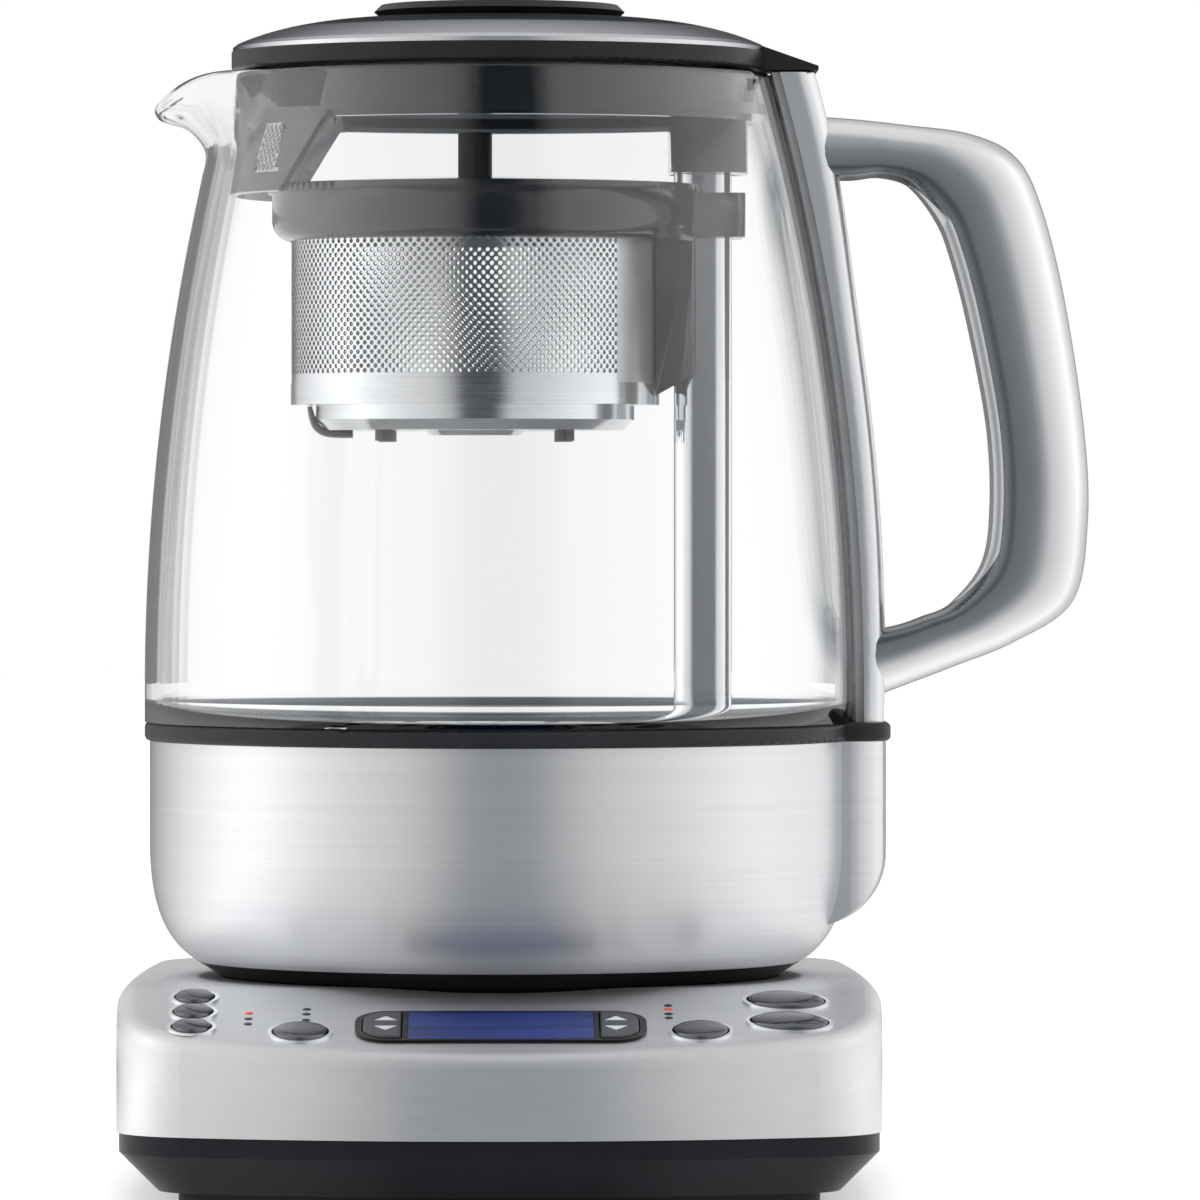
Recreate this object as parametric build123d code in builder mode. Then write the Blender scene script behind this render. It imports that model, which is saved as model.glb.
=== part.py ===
"""Automatic tea maker: power base, glass jug with a lifting tea basket, and lid.

Millimetres, +Z up. The origin is where the jug's axis meets the table. The spout points to -X,
the handle to +X, and the control panel faces -Y.
"""

from build123d import *
from math import cos, pi, radians, sin, sqrt, tan
import os

os.makedirs("parts", exist_ok=True)

# ---------------------------------------------------------------- clearances
run_gap = 0.3            # between pieces that move past each other
fit_gap = 0.1            # round a piece that is fitted and stays
pivot_gap = 0.06         # radial play of a pin in its socket

# ---------------------------------------------------------------- power base
base_side_x = 88.5       # half width at the widest place
base_front_x = 87.5      # front corners, before they are rounded
base_front_y = -113.0
base_front_bow = 200.0   # radius of the bowed front
base_rear_x = 84.0
base_rear_corner_y = 90.0
base_rear_y = 93.0
base_front_round = 24.0
base_rear_round = 26.0
base_edge_round = 4.0
panel_crease_round = 24.0
cover_wall = 1.2
tray_wall = 2.0
tray_inset = 0.6         # shadow seam under the steel cover
tray_chamfer = 9.0
foot_height = 2.5
foot_width = 7.0
foot_inset = 14.0        # from the base's outline
foot_groove = 1.0
seam_z = 16.0            # steel above, black tray below
deck_z = 48.0
panel_slope = 14.0
panel_front_y = -110.0
panel_front_z = 36.0

dish_radius = 66.5       # recess that the jug stands in
dish_depth = 2.5
dish_flare = 2.0

screw_boss_radius = 4.0
screw_boss_places = [(-56.0, -56.0), (56.0, -56.0), (-56.0, 60.0), (56.0, 60.0)]
base_screw_radius = 1.5
base_screw_length = 14.0
screw_head_radius = 2.9
screw_head_height = 2.0

boss_radius = 16.8       # 360-degree connector on the base
boss_step_radius = 11.0
boss_height = 12.5
boss_step = 6.0
boss_bore = 3.2
boss_below = 16.0

gland_z = 27.0
gland_radius = 5.2
gland_bore = 3.3
gland_flange_radius = 7.2
gland_flange = 1.6
gland_length = 9.0

power_board_size = (62.0, 46.0)
power_board_center = (0.0, 42.0)
power_board_rise = 6.0
power_board_post_radius = 3.0
transformer_size = (24.0, 20.0, 17.0)
capacitor_radius = 6.0
capacitor_height = 19.0
board_thickness = 1.6

# ---------------------------------------------------------------- control panel
# places on the panel are (x, distance along the slope from panel_line_y, rearwards positive)
panel_line_y = -68.0
button_travel = 0.8
bezel_lip = 0.4          # width of the chrome ring that lies on the panel
bezel_lip_height = 0.6
bezel_sleeve = 2.6       # ring's depth through the panel
bezel_wall = 0.5
cap_proud = 1.5
cap_dome = 0.5
retainer = 0.8           # flange under the sleeve that keeps a button in
small_button_radius = 4.5
small_button_places = {
    "button_auto_start": (-70.3, -2.0),
    "button_keep_warm": (-70.3, -13.5),
    "button_basket": (-70.3, -25.0),
}
round_button_radius = 6.3
round_button_places = {
    "button_tea_type": (-45.4, -28.9),
    "button_strength": (45.9, -28.1),
}
oval_button_length = 17.9
oval_button_width = 11.6
oval_button_places = {
    "button_hot_water": (66.0, -5.0, -10.0),
    "button_start": (66.3, -21.4, -12.0),
}
led_radius = 0.9
led_length = 5.5
tea_type_led_places = [
    (-57.5, -13.2), (-57.5, -17.5), (-57.5, -21.5),
    (-44.3, -10.2), (-44.3, -13.9), (-44.3, -18.5),
]
strength_led_places = [(38.8, -7.4), (38.8, -10.3), (38.8, -13.9), (38.8, -17.0)]

pill_length = 66.6
pill_width = 22.5
pill_round = 8.0
pill_center = (0.3, -25.1)
pill_lip = 0.6
pill_sleeve_wall = 0.9
pill_rise = 0.8
pill_depth = 4.0
window_length = 42.4
window_width = 19.4
window_thickness = 1.6
window_ledge = 1.0
window_web = 1.2         # web between the window and each rocker
rocker_rise = 1.3
rocker_depth = 3.0
rocker_pin_radius = 1.0
rocker_pin_reach = 0.6   # into the frame
rocker_pin_depth = 1.6
rocker_peg_radius = 1.5
rocker_peg_y = 6.0
lcd_depth = 5.0

board_depth = 11.0       # control board under the panel's surface
board_outline = [
    (-75.0, 0.0), (75.0, 0.0), (75.0, -16.0), (60.0, -31.0), (46.0, -36.0),
    (-46.0, -36.0), (-60.0, -31.0), (-75.0, -16.0),
]
board_post_radius = 2.0
board_post_places = [(-24.0, -8.0), (24.0, -8.0), (-56.4, -29.5), (56.4, -29.5)]
switch_size = 6.0
switch_height = 3.6

# ---------------------------------------------------------------- jug, lower part
jug_seat = 0.3
bottom_cover_height = 5.9
bottom_cover_foot_radius = 62.5
bottom_cover_wall = 2.0
bottom_spigot = 3.0
shell_foot_radius = 72.0
shell_radius = 83.2
shell_height = 52.3
shell_wall = 1.2
shell_tuck_height = 30.3  # below this the wall curves in to the foot
shell_tuck = [(82.2, 16.2), (79.5, 8.1)]   # radius, height above the foot
lobe_reach = 92.0
lobe_half_width = 20.0
lobe_corner = 9.0
lobe_bottom_round = 17.0
lobe_straight = 27.0     # height of the lobe's upright part
seal_radius = 84.4
seal_overhang = 0.7      # seal ring proud of the lobe
seal_height = 4.4
seal_inner_radius = 79.5
seal_edge_round = 1.2
floor_thickness = 1.6
floor_rise = 1.0         # floor's top above the seal ring
floor_bead_radius = 70.0
floor_bead_width = 3.0
floor_bead_height = 1.2
element_ring_radius = 62.0
element_tube_radius = 3.3
element_sweep = 300.0
element_terminal = 12.0
sensor_radius = 4.0
sensor_length = 9.0
sensor_place = (0.0, 30.0)
jug_socket_radius = 20.0
jug_socket_height = 20.0
jug_socket_gap = 0.8
jug_socket_pin_radius = 2.2

# ---------------------------------------------------------------- jug, glass and spout
glass_radius = 84.4
glass_wall = 3.0
glass_height = 154.2
glass_straight = 6.5
rim_radius = 64.4
spout_reach = 81.8
spout_drop = 10.2        # tip below the rim
spout_lip_middle = (76.6, 4.4)   # half way along the lip: distance from the axis, drop
# stations along the spout: distance from the axis, half width, depth below the rim
spout_stations = [
    (50.0, 30.0, 30.0), (64.0, 22.0, 21.0), (70.0, 17.0, 19.0),
    (75.0, 13.0, 13.5), (79.0, 8.5, 12.4), (81.8, 6.0, 11.6),
]

# ---------------------------------------------------------------- jug, spine and handle
spine_half_width = 11.0
spine_edge_round = 4.5
# outer curves of spine and handle: (x, height above the seal ring)
spine_points = [(91.3, 0.0), (91.1, 37.1), (88.7, 69.3), (84.6, 101.4), (81.1, 126.4), (74.8, 154.0)]
spine_gasket = 2.0
spine_gasket_half_width = 9.0
handle_half_width = 10.5
handle_edge_round = 5.0
handle_outer = [
    (77.0, 143.9), (96.8, 141.9), (112.0, 139.8), (122.6, 134.6), (128.3, 124.5), (134.4, 101.4),
    (139.4, 69.3), (140.4, 47.0), (136.6, 28.5), (123.0, 19.0), (96.8, 8.6), (89.0, 5.6),
]
handle_inner = [
    (84.0, 128.7), (88.2, 129.5), (97.5, 127.2), (104.2, 119.3), (110.4, 101.4), (115.9, 75.0),
    (117.4, 52.0), (115.1, 37.1), (107.5, 28.0), (94.9, 22.9), (89.0, 21.4),
]
# ends of the handle inside the spine
handle_root = [(76.5, 128.7), (74.5, 143.9)]
handle_foot = [(87.4, 5.6), (87.4, 21.4)]
grip_thickness = 2.6
grip_half_width = 6.0
grip_start = 0.27        # shares of the way down the inner curve
grip_end = 0.8
grip_stations = 8
grip_proud = 0.5
handle_screw_radius = 1.5
handle_screw_head = 2.0
handle_screw_length = 10.0
handle_screw_places = [(88.6, -5.0), (88.6, 5.0)]

# ---------------------------------------------------------------- jug, collar and post
collar_outer_radius = 60.7
collar_inner_radius = 57.6
collar_height = 11.6
collar_drop = 0.8        # collar's top below the rim
gasket_height = 2.5
filter_half_angle = 50.0
filter_top_radius = 61.0
filter_bottom_radius = 64.4
filter_thickness = 2.4
filter_height = 23.0
filter_windows = 3
filter_window_pitch = 33.0
filter_window_lean = 20.0  # the outer windows lean towards the spout at their foot
filter_window_width = 8.0
filter_window_height = 13.0
mesh_thickness = 0.5
mesh_hole = 1.5
mesh_columns = 3
mesh_rows = 5
bracket_half_width = 12.5
bracket_gap = 0.6        # clear of the basket's flange when the basket is lifted out
bracket_height = 16.1
bracket_top_drop = 8.1   # bracket's top below the rim

post_x = 48.4
post_length = 13.8       # along X
post_width = 11.0
post_corner = 4.6
post_wall = 0.8
post_socket_depth = 10.0

# ---------------------------------------------------------------- lift drive
screw_radius = 2.0
screw_bottom_drop = 25.0
gear_module = 0.8
screw_teeth = 24
pinion_teeth = 12
gear_width = 5.0
gear_drop = 16.0         # gear's middle below the floor
tooth_fill = 0.42        # share of the pitch that a tooth takes at the pitch circle
motor_radius = 10.0
motor_length = 26.0
motor_shaft_radius = 1.0
motor_side = 1.0         # the motor stands on the +Y side of the screw
bracket_plate = 2.0
bracket_plate_size = (34.0, 48.0)
bracket_pillar_radius = 3.0
bracket_pillar_places = [(34.4, -6.0), (54.4, -12.0), (48.4, 28.4)]
magnet_height = 22.0
magnet_gap = 0.35

# ---------------------------------------------------------------- lid
lid_seat = 0.3
lid_rim_radius = 63.7
lid_rim_height = 4.4
lid_rim_inner_radius = 50.0
dome_rise = 8.1
dome_flat_radius = 24.0   # flat seat under the knob
dome_middle = (46.3, 1.6)      # radius, drop below the top
dome_shoulder = (62.4, 6.3)
dome_shoulder_slope = 0.45
dome_edge = 1.0
dome_wall = 1.0
tail_half_width = 11.0
tail_start = 50.0
tail_top_x = 52.5
tail_height = 9.1
tail_reach = 75.6
tail_tip = 1.0
skirt_radius = 56.6
skirt_wall = 2.4
skirt_drop = 7.6         # below the rim's underside
lid_seal_height = 1.8
lid_seal_drop = 3.4
knob_radius = 29.8
knob_height = 4.0
knob_edge = 1.6
knob_neck_radius = 9.0
knob_screw_radius = 2.0
knob_screw_head = 4.0

# ---------------------------------------------------------------- carriage and basket
carriage_top_drop = 27.1  # ring's top below the rim
carriage_radius = 50.8
carriage_x = -3.3
carriage_height = 13.3
carriage_rim = 1.0
carriage_rim_height = 2.0
carriage_bottom_round = 5.0
plate_x = 37.0            # front edges of the back plate
plate_step = 0.6          # set in from the ring's outside
plate_drop = 36.7         # ring's bottom to the back plate's low edge
plate_slant = 6.0
guide_reach = 58.0
guide_half_width = 12.5
guide_low = 1.0
guide_height = 10.4
carrier_magnet_size = (7.0, 3.6, 7.0)
carrier_magnet_y = 8.9

basket_x = -5.8
basket_radius = 43.7
basket_wall_thickness = 0.7
basket_seat = 0.3
basket_flange = 2.0
basket_flange_thickness = 1.0
basket_flange_drop = 2.6   # flange's top below the carriage's top
basket_wall_height = 43.3
basket_base_height = 5.1
basket_cup_radius = 37.9
basket_cup_height = 6.0
basket_cup_round = 2.5
basket_cup_dome = 1.2
slot_count = 12
slot_inner = 12.0
slot_outer = 30.0
slot_width = 2.0
foot_radius = 2.2
foot_length = 2.6
foot_circle = 30.0
foot_count = 4
perforation_columns = 30
perforation_rows = 5
perforation_size = 3.4
perforation_pitch = 5.6
perforation_low = 6.0
perforation_plain = 40.0   # unperforated angle each side of the post
clip_half_width = 3.0
clip_thickness = 1.6
clip_drop = 7.5
basket_lid_thickness = 1.2
basket_lid_dome = 2.4
basket_lid_lip = 2.2
basket_knob_radius = 4.05
basket_knob_height = 10.4
basket_knob_screw = 1.5

# ---------------------------------------------------------------- places worked out from these
seal_reach = lobe_reach + seal_overhang
bracket_inner_x = basket_x + basket_radius + basket_flange + bracket_gap
dish_z = deck_z - dish_depth
jug_z = dish_z + jug_seat
shell_z = jug_z + bottom_cover_height
shell_top_z = shell_z + shell_height
seal_top_z = shell_top_z + seal_height
glass_z = seal_top_z
rim_z = glass_z + glass_height
floor_z = seal_top_z + floor_rise
gear_z = floor_z - gear_drop
bracket_top_z = rim_z - bracket_top_drop
post_top_z = bracket_top_z - 2 * post_wall
lid_z = rim_z + lid_seat
lid_rim_top_z = lid_z + lid_rim_height
dome_top_z = lid_rim_top_z + dome_rise
carriage_top_z = rim_z - carriage_top_drop
carriage_z = carriage_top_z - carriage_height
flange_z = carriage_top_z - basket_flange_drop - basket_flange_thickness
basket_z = flange_z - basket_wall_height
panel_plane = Plane(
    origin=(0, panel_line_y, panel_front_z + (panel_line_y - panel_front_y) * tan(radians(panel_slope))),
    x_dir=(1, 0, 0),
    z_dir=(0, -sin(radians(panel_slope)), cos(radians(panel_slope))),
)


def finish(builder, name):
    """Label a finished piece and write it."""
    builder.part.label = name
    export_step(builder.part, f"parts/{name}.step")


# ================================================================ power base
def base_outline(inset):
    """Plan of the base: bowed front, near-straight sides and back, rounded corners."""
    front_x = base_front_x - inset
    front_y = base_front_y + base_front_bow - sqrt((base_front_bow - inset) ** 2 - front_x ** 2)
    rear_x = base_rear_x - inset
    rear_y = base_rear_corner_y - inset
    side_x = base_side_x - inset
    with BuildSketch() as plan:
        with BuildLine():
            ThreePointArc((-front_x, front_y), (0, base_front_y + inset), (front_x, front_y))
            ThreePointArc((front_x, front_y), (side_x, 0), (rear_x, rear_y))
            ThreePointArc((rear_x, rear_y), (0, base_rear_y - inset), (-rear_x, rear_y))
            ThreePointArc((-rear_x, rear_y), (-side_x, 0), (-front_x, front_y))
        make_face()
        fillet(plan.vertices().filter_by(lambda v: v.Y < 0), base_front_round - inset)
        fillet(plan.vertices().group_by(Axis.Y)[-1], base_rear_round - inset)
    return plan.sketch


def base_block(inset, low_z, edge_round):
    """Solid of the base from low_z up, with its deck and sloped panel lowered by inset."""
    with BuildPart() as block:
        with BuildSketch(Plane.XY.offset(low_z)):
            add(base_outline(inset))
        extrude(amount=deck_z - inset - low_z)
        above_panel = panel_plane.offset(-inset)
        with BuildSketch(above_panel):
            Rectangle(4 * base_side_x, 4 * base_side_x)
        extrude(amount=deck_z, mode=Mode.SUBTRACT)
        crease = block.edges().filter_by(Axis.X).filter_by(lambda e: e.center().Z > panel_front_z)
        fillet(crease, panel_crease_round)
        if edge_round:
            fillet(block.edges().filter_by(lambda e: e.center().Z > panel_front_z), edge_round)
    return block.part


def profile(*points):
    """Closed straight-sided outline, for a revolve about the Z axis or an extrusion."""
    with BuildSketch() as outline:
        with BuildLine():
            Polyline(*points, close=True)
        make_face()
    return outline.sketch


def pill_sketch(inset):
    """Outline of the display frame on the panel."""
    with Locations(pill_center):
        RectangleRounded(pill_length - 2 * inset, pill_width - 2 * inset, pill_round - inset)


with BuildPart() as base_cover:
    add(base_block(0, seam_z, base_edge_round))
    add(base_block(cover_wall, seam_z - cover_wall, 0), mode=Mode.SUBTRACT)
    # dish: its wall and floor as a thick slice, then the recess itself
    with BuildSketch(Plane.XY.offset(dish_z - cover_wall)):
        Circle(dish_radius + cover_wall)
    extrude(amount=dish_depth)
    with BuildSketch(Plane.XZ):
        add(profile(
            (0, dish_z), (dish_radius - dish_flare, dish_z), (dish_radius, deck_z),
            (dish_radius, deck_z + dish_depth), (0, deck_z + dish_depth),
        ))
    revolve(axis=Axis.Z, mode=Mode.SUBTRACT)
    # material above the sloped panel goes again
    with BuildSketch(panel_plane):
        Rectangle(4 * base_side_x, 4 * base_side_x)
    extrude(amount=deck_z, mode=Mode.SUBTRACT)
    # screw bosses, and posts that the control board hangs from
    with BuildSketch(Plane.XY.offset(seam_z)):
        with Locations(*screw_boss_places):
            Circle(screw_boss_radius)
    extrude(amount=deck_z - seam_z - cover_wall)
    with BuildSketch(panel_plane.offset(-board_depth)):
        with Locations(*board_post_places):
            Circle(board_post_radius)
    extrude(amount=board_depth - cover_wall / 2)
    with BuildSketch(Plane.XY.offset(seam_z)):
        with Locations(*screw_boss_places):
            Circle(base_screw_radius)
    extrude(amount=base_screw_length, mode=Mode.SUBTRACT)
    # connector hole
    with BuildSketch(Plane.XY.offset(dish_z - 2 * cover_wall)):
        Circle(boss_radius + fit_gap)
    extrude(amount=4 * cover_wall, mode=Mode.SUBTRACT)
    # openings in the panel for rings, display and lamps
    with BuildSketch(panel_plane.offset(2 * cap_proud)):
        with Locations(*small_button_places.values()):
            Circle(small_button_radius + run_gap + bezel_wall + fit_gap)
        with Locations(*round_button_places.values()):
            Circle(round_button_radius + run_gap + bezel_wall + fit_gap)
        for x, y, angle in oval_button_places.values():
            with Locations(Location((x, y, 0), angle)):
                ring = run_gap + bezel_wall + fit_gap
                Ellipse(oval_button_length / 2 + ring, oval_button_width / 2 + ring)
            pill_sketch(pill_lip - fit_gap)
        with Locations(*tea_type_led_places, *strength_led_places):
            Circle(led_radius + fit_gap)
    extrude(amount=-4 * cap_proud, mode=Mode.SUBTRACT)
    # hole for the cord gland
    with BuildSketch(Plane.XZ.offset(-base_rear_y - cover_wall)):
        with Locations((0, gland_z)):
            Circle(gland_radius + fit_gap)
    extrude(amount=4 * cover_wall, mode=Mode.SUBTRACT)
finish(base_cover, "base_cover")


def tray_block(inset, low_z):
    """Solid of the tray up to the seam, bevelled round its underside; smaller by inset."""
    with BuildPart() as block:
        with BuildSketch(Plane.XY.offset(low_z)):
            add(base_outline(inset))
        extrude(amount=seam_z - low_z)
        chamfer(block.edges().group_by(Axis.Z)[0], tray_chamfer)
    return block.part


with BuildPart() as base_tray:
    add(tray_block(tray_inset, foot_height))
    add(tray_block(tray_inset + tray_wall, foot_height + tray_wall), mode=Mode.SUBTRACT)
    with BuildSketch(Plane.XY.offset(foot_height)):
        with Locations(*screw_boss_places):
            Circle(screw_boss_radius)
    extrude(amount=seam_z - foot_height)
    # foot groove, screw holes and their counterbores
    with BuildSketch(Plane.XY.offset(foot_height)):
        add(base_outline(foot_inset))
        add(base_outline(foot_inset + foot_width), mode=Mode.SUBTRACT)
    extrude(amount=foot_groove, mode=Mode.SUBTRACT)
    with Locations(*[(x, y, foot_height) for x, y in screw_boss_places]):
        Cylinder(
            screw_head_radius + run_gap, screw_head_height + foot_groove,
            align=(Align.CENTER, Align.CENTER, Align.MIN), mode=Mode.SUBTRACT,
        )
        Cylinder(
            base_screw_radius + fit_gap, seam_z,
            align=(Align.CENTER, Align.CENTER, Align.MIN), mode=Mode.SUBTRACT,
        )
finish(base_tray, "base_tray")

with BuildPart() as base_foot:
    with BuildSketch():
        add(base_outline(foot_inset + fit_gap))
        add(base_outline(foot_inset + foot_width - fit_gap), mode=Mode.SUBTRACT)
    extrude(amount=foot_height + foot_groove)
finish(base_foot, "base_foot")

with BuildPart() as base_screws:
    head_z = foot_height + foot_groove + run_gap
    with BuildSketch(Plane.XY.offset(head_z)):
        with Locations(*screw_boss_places):
            Circle(screw_head_radius)
    extrude(amount=screw_head_height - run_gap)
    with BuildSketch(Plane.XY.offset(head_z)):
        with Locations(*screw_boss_places):
            Circle(base_screw_radius)
    extrude(amount=seam_z + base_screw_length - fit_gap - head_z)
    with BuildSketch(Plane.XY.offset(head_z)):
        with Locations(*screw_boss_places):
            Rectangle(screw_head_radius, base_screw_radius / 3)
            Rectangle(base_screw_radius / 3, screw_head_radius)
    extrude(amount=screw_head_height / 3, mode=Mode.SUBTRACT)
finish(base_screws, "base_screws")

with BuildPart() as base_connector:
    with BuildSketch(Plane.XZ):
        add(profile(
            (boss_bore, dish_z - boss_below), (boss_radius, dish_z - boss_below),
            (boss_radius, dish_z + boss_step), (boss_step_radius, dish_z + boss_step),
            (boss_step_radius, dish_z + boss_height), (boss_bore, dish_z + boss_height),
        ))
        add(profile(
            (boss_radius, dish_z - 3 * cover_wall), (jug_socket_radius, dish_z - 3 * cover_wall),
            (jug_socket_radius, dish_z - cover_wall), (boss_radius, dish_z - cover_wall),
        ))
    revolve(axis=Axis.Z)
finish(base_connector, "base_connector")

with BuildPart() as cord_gland:
    with BuildSketch(Plane.XZ.offset(-base_rear_y)):
        with Locations((0, gland_z)):
            Circle(gland_flange_radius)
    extrude(amount=-gland_flange)
    with BuildSketch(Plane.XZ.offset(-base_rear_y)):
        with Locations((0, gland_z)):
            Circle(gland_radius)
    extrude(amount=gland_length)
    with BuildSketch(Plane.XZ.offset(-base_rear_y - gland_flange)):
        with Locations((0, gland_z)):
            Circle(gland_bore)
    extrude(amount=gland_length + gland_flange, mode=Mode.SUBTRACT)
finish(cord_gland, "cord_gland")

with BuildPart() as power_board:
    tray_floor_z = foot_height + tray_wall
    board_z = tray_floor_z + power_board_rise
    center_x, center_y = power_board_center
    with BuildSketch(Plane.XY.offset(board_z)):
        with Locations(power_board_center):
            Rectangle(*power_board_size)
    extrude(amount=board_thickness)
    with Locations((center_x - power_board_size[0] / 4, center_y, board_z + board_thickness)):
        Box(*transformer_size, align=(Align.CENTER, Align.CENTER, Align.MIN))
    with Locations((center_x + power_board_size[0] / 4, center_y, board_z + board_thickness)):
        Cylinder(capacitor_radius, capacitor_height, align=(Align.CENTER, Align.CENTER, Align.MIN))
    with BuildSketch(Plane.XY.offset(tray_floor_z)):
        with Locations(power_board_center):
            with GridLocations(
                power_board_size[0] - 3 * power_board_post_radius,
                power_board_size[1] - 3 * power_board_post_radius, 2, 2,
            ):
                Circle(power_board_post_radius)
    extrude(amount=power_board_rise)
finish(power_board, "power_board")


# ================================================================ control panel
def all_buttons(grow):
    """Outlines of every round and oval button, grown by the given amount."""
    with Locations(*small_button_places.values()):
        Circle(small_button_radius + grow)
    with Locations(*round_button_places.values()):
        Circle(round_button_radius + grow)
    for x, y, angle in oval_button_places.values():
        with Locations(Location((x, y, 0), angle)):
            Ellipse(oval_button_length / 2 + grow, oval_button_width / 2 + grow)


with BuildPart() as button_bezels:
    with BuildSketch(panel_plane):
        all_buttons(run_gap + bezel_wall + bezel_lip)
    extrude(amount=bezel_lip_height)
    with BuildSketch(panel_plane):
        all_buttons(run_gap + bezel_wall)
    extrude(amount=-bezel_sleeve)
    with BuildSketch(panel_plane.offset(bezel_lip_height)):
        all_buttons(run_gap)
    extrude(amount=-bezel_lip_height - bezel_sleeve, mode=Mode.SUBTRACT)
finish(button_bezels, "button_bezels")

stem_end = board_depth - switch_height - button_travel - run_gap
round_sizes = {name: (place, small_button_radius) for name, place in small_button_places.items()}
round_sizes |= {name: (place, round_button_radius) for name, place in round_button_places.items()}
for name, (place, radius) in round_sizes.items():
    with BuildPart() as button:
        with BuildSketch(panel_plane.offset(-bezel_sleeve - run_gap)):
            with Locations(place):
                Circle(radius)
        extrude(amount=bezel_sleeve + run_gap + cap_proud)
        cap_face = button.faces().sort_by(Axis(panel_plane.origin, panel_plane.z_dir))[-1]
        fillet(cap_face.edges(), cap_dome)
        with BuildSketch(panel_plane.offset(-bezel_sleeve - run_gap)):
            with Locations(place):
                Circle(radius + run_gap + bezel_wall / 2)
        extrude(amount=-retainer)
        with BuildSketch(panel_plane.offset(-bezel_sleeve - run_gap - retainer)):
            with Locations(place):
                Circle(radius / 2)
        extrude(amount=-(stem_end - bezel_sleeve - run_gap - retainer))
    finish(button, name)

for name, (x, y, angle) in oval_button_places.items():
    with BuildPart() as button:
        with BuildSketch(panel_plane.offset(-bezel_sleeve - run_gap)):
            with Locations(Location((x, y, 0), angle)):
                Ellipse(oval_button_length / 2, oval_button_width / 2)
        extrude(amount=bezel_sleeve + run_gap + cap_proud)
        cap_face = button.faces().sort_by(Axis(panel_plane.origin, panel_plane.z_dir))[-1]
        fillet(cap_face.edges(), cap_dome)
        with BuildSketch(panel_plane.offset(-bezel_sleeve - run_gap)):
            with Locations(Location((x, y, 0), angle)):
                retainer_grow = run_gap + bezel_wall / 2
                Ellipse(oval_button_length / 2 + retainer_grow, oval_button_width / 2 + retainer_grow)
        extrude(amount=-retainer)
        with BuildSketch(panel_plane.offset(-bezel_sleeve - run_gap - retainer)):
            with Locations((x, y)):
                Circle(oval_button_width / 4)
        extrude(amount=-(stem_end - bezel_sleeve - run_gap - retainer))
    finish(button, name)

rocker_opening_x = window_length / 2 + window_web    # from the display's middle
rocker_inset = pill_lip + pill_sleeve_wall
rocker_end_x = pill_length / 2 - rocker_inset
pin_plane = panel_plane.offset(-rocker_pin_depth)


def rocker_outline(side, gap):
    """D-shaped outline of the rocker, or of its opening, at one end of the display frame."""
    pill_sketch(rocker_inset + gap)
    with Locations((pill_center[0] + side * (rocker_opening_x + gap + pill_length / 2), pill_center[1])):
        Rectangle(pill_length, pill_width, mode=Mode.INTERSECT)


def rocker_opening(side):
    """Face of one rocker opening, on the panel's own plane."""
    with BuildSketch() as opening:
        rocker_outline(side, 0)
    return opening.sketch


with BuildPart() as display_bezel:
    with BuildSketch(panel_plane):
        pill_sketch(0)
    extrude(amount=pill_rise)
    with BuildSketch(panel_plane):
        pill_sketch(pill_lip)
    extrude(amount=-pill_depth)
    with BuildSketch(panel_plane.offset(pill_rise)):
        with Locations(pill_center):
            Rectangle(window_length + 2 * fit_gap, window_width + 2 * fit_gap)
    extrude(amount=-window_thickness, mode=Mode.SUBTRACT)
    with BuildSketch(panel_plane.offset(pill_rise)):
        with Locations(pill_center):
            Rectangle(window_length - 2 * window_ledge, window_width - 2 * window_ledge)
        add(rocker_opening(-1))
        add(rocker_opening(1))
    extrude(amount=-pill_rise - pill_depth, mode=Mode.SUBTRACT)
    # sockets for the rockers' pins, in line along the frame
    for side in (-1, 1):
        for end_x in (rocker_opening_x, rocker_end_x):
            socket_x = pill_center[0] + side * end_x
            with BuildSketch(Plane(
                pin_plane.from_local_coords((socket_x, pill_center[1], 0)),
                x_dir=panel_plane.y_dir, z_dir=(1, 0, 0),
            )):
                Circle(rocker_pin_radius + pivot_gap)
            extrude(amount=rocker_pin_reach + fit_gap, both=True, mode=Mode.SUBTRACT)
finish(display_bezel, "display_bezel")

for name, side in {"rocker_left": -1, "rocker_right": 1}.items():
    with BuildPart() as rocker:
        with BuildSketch(panel_plane.offset(-rocker_depth)):
            rocker_outline(side, run_gap)
        extrude(amount=rocker_depth + rocker_rise)
        cap_face = rocker.faces().sort_by(Axis(panel_plane.origin, panel_plane.z_dir))[-1]
        fillet(cap_face.edges(), cap_dome)
        rocker_middle = (rocker_opening_x + rocker_end_x) / 2
        pin_span = rocker_end_x - rocker_opening_x + 2 * rocker_pin_reach
        with BuildSketch(Plane(
            pin_plane.from_local_coords((pill_center[0] + side * rocker_middle, pill_center[1], 0)),
            x_dir=panel_plane.y_dir, z_dir=(1, 0, 0),
        )):
            Circle(rocker_pin_radius)
        extrude(amount=pin_span / 2, both=True)
        with BuildSketch(panel_plane.offset(-rocker_depth)):
            with Locations(*[(pill_center[0] + side * rocker_middle, pill_center[1] + end * rocker_peg_y)
                             for end in (-1, 1)]):
                Circle(rocker_peg_radius)
        extrude(amount=-(stem_end - rocker_depth))
    finish(rocker, name)

with BuildPart() as lcd_window:
    with BuildSketch(panel_plane.offset(pill_rise)):
        with Locations(pill_center):
            Rectangle(window_length, window_width)
    extrude(amount=-window_thickness)
finish(lcd_window, "lcd_window")

with BuildPart() as lcd_module:
    with BuildSketch(panel_plane.offset(pill_rise - window_thickness)):
        with Locations(pill_center):
            lcd_inset = window_ledge + fit_gap
            Rectangle(window_length - 2 * lcd_inset, window_width - 2 * lcd_inset)
    extrude(amount=-lcd_depth)
finish(lcd_module, "lcd_module")

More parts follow.
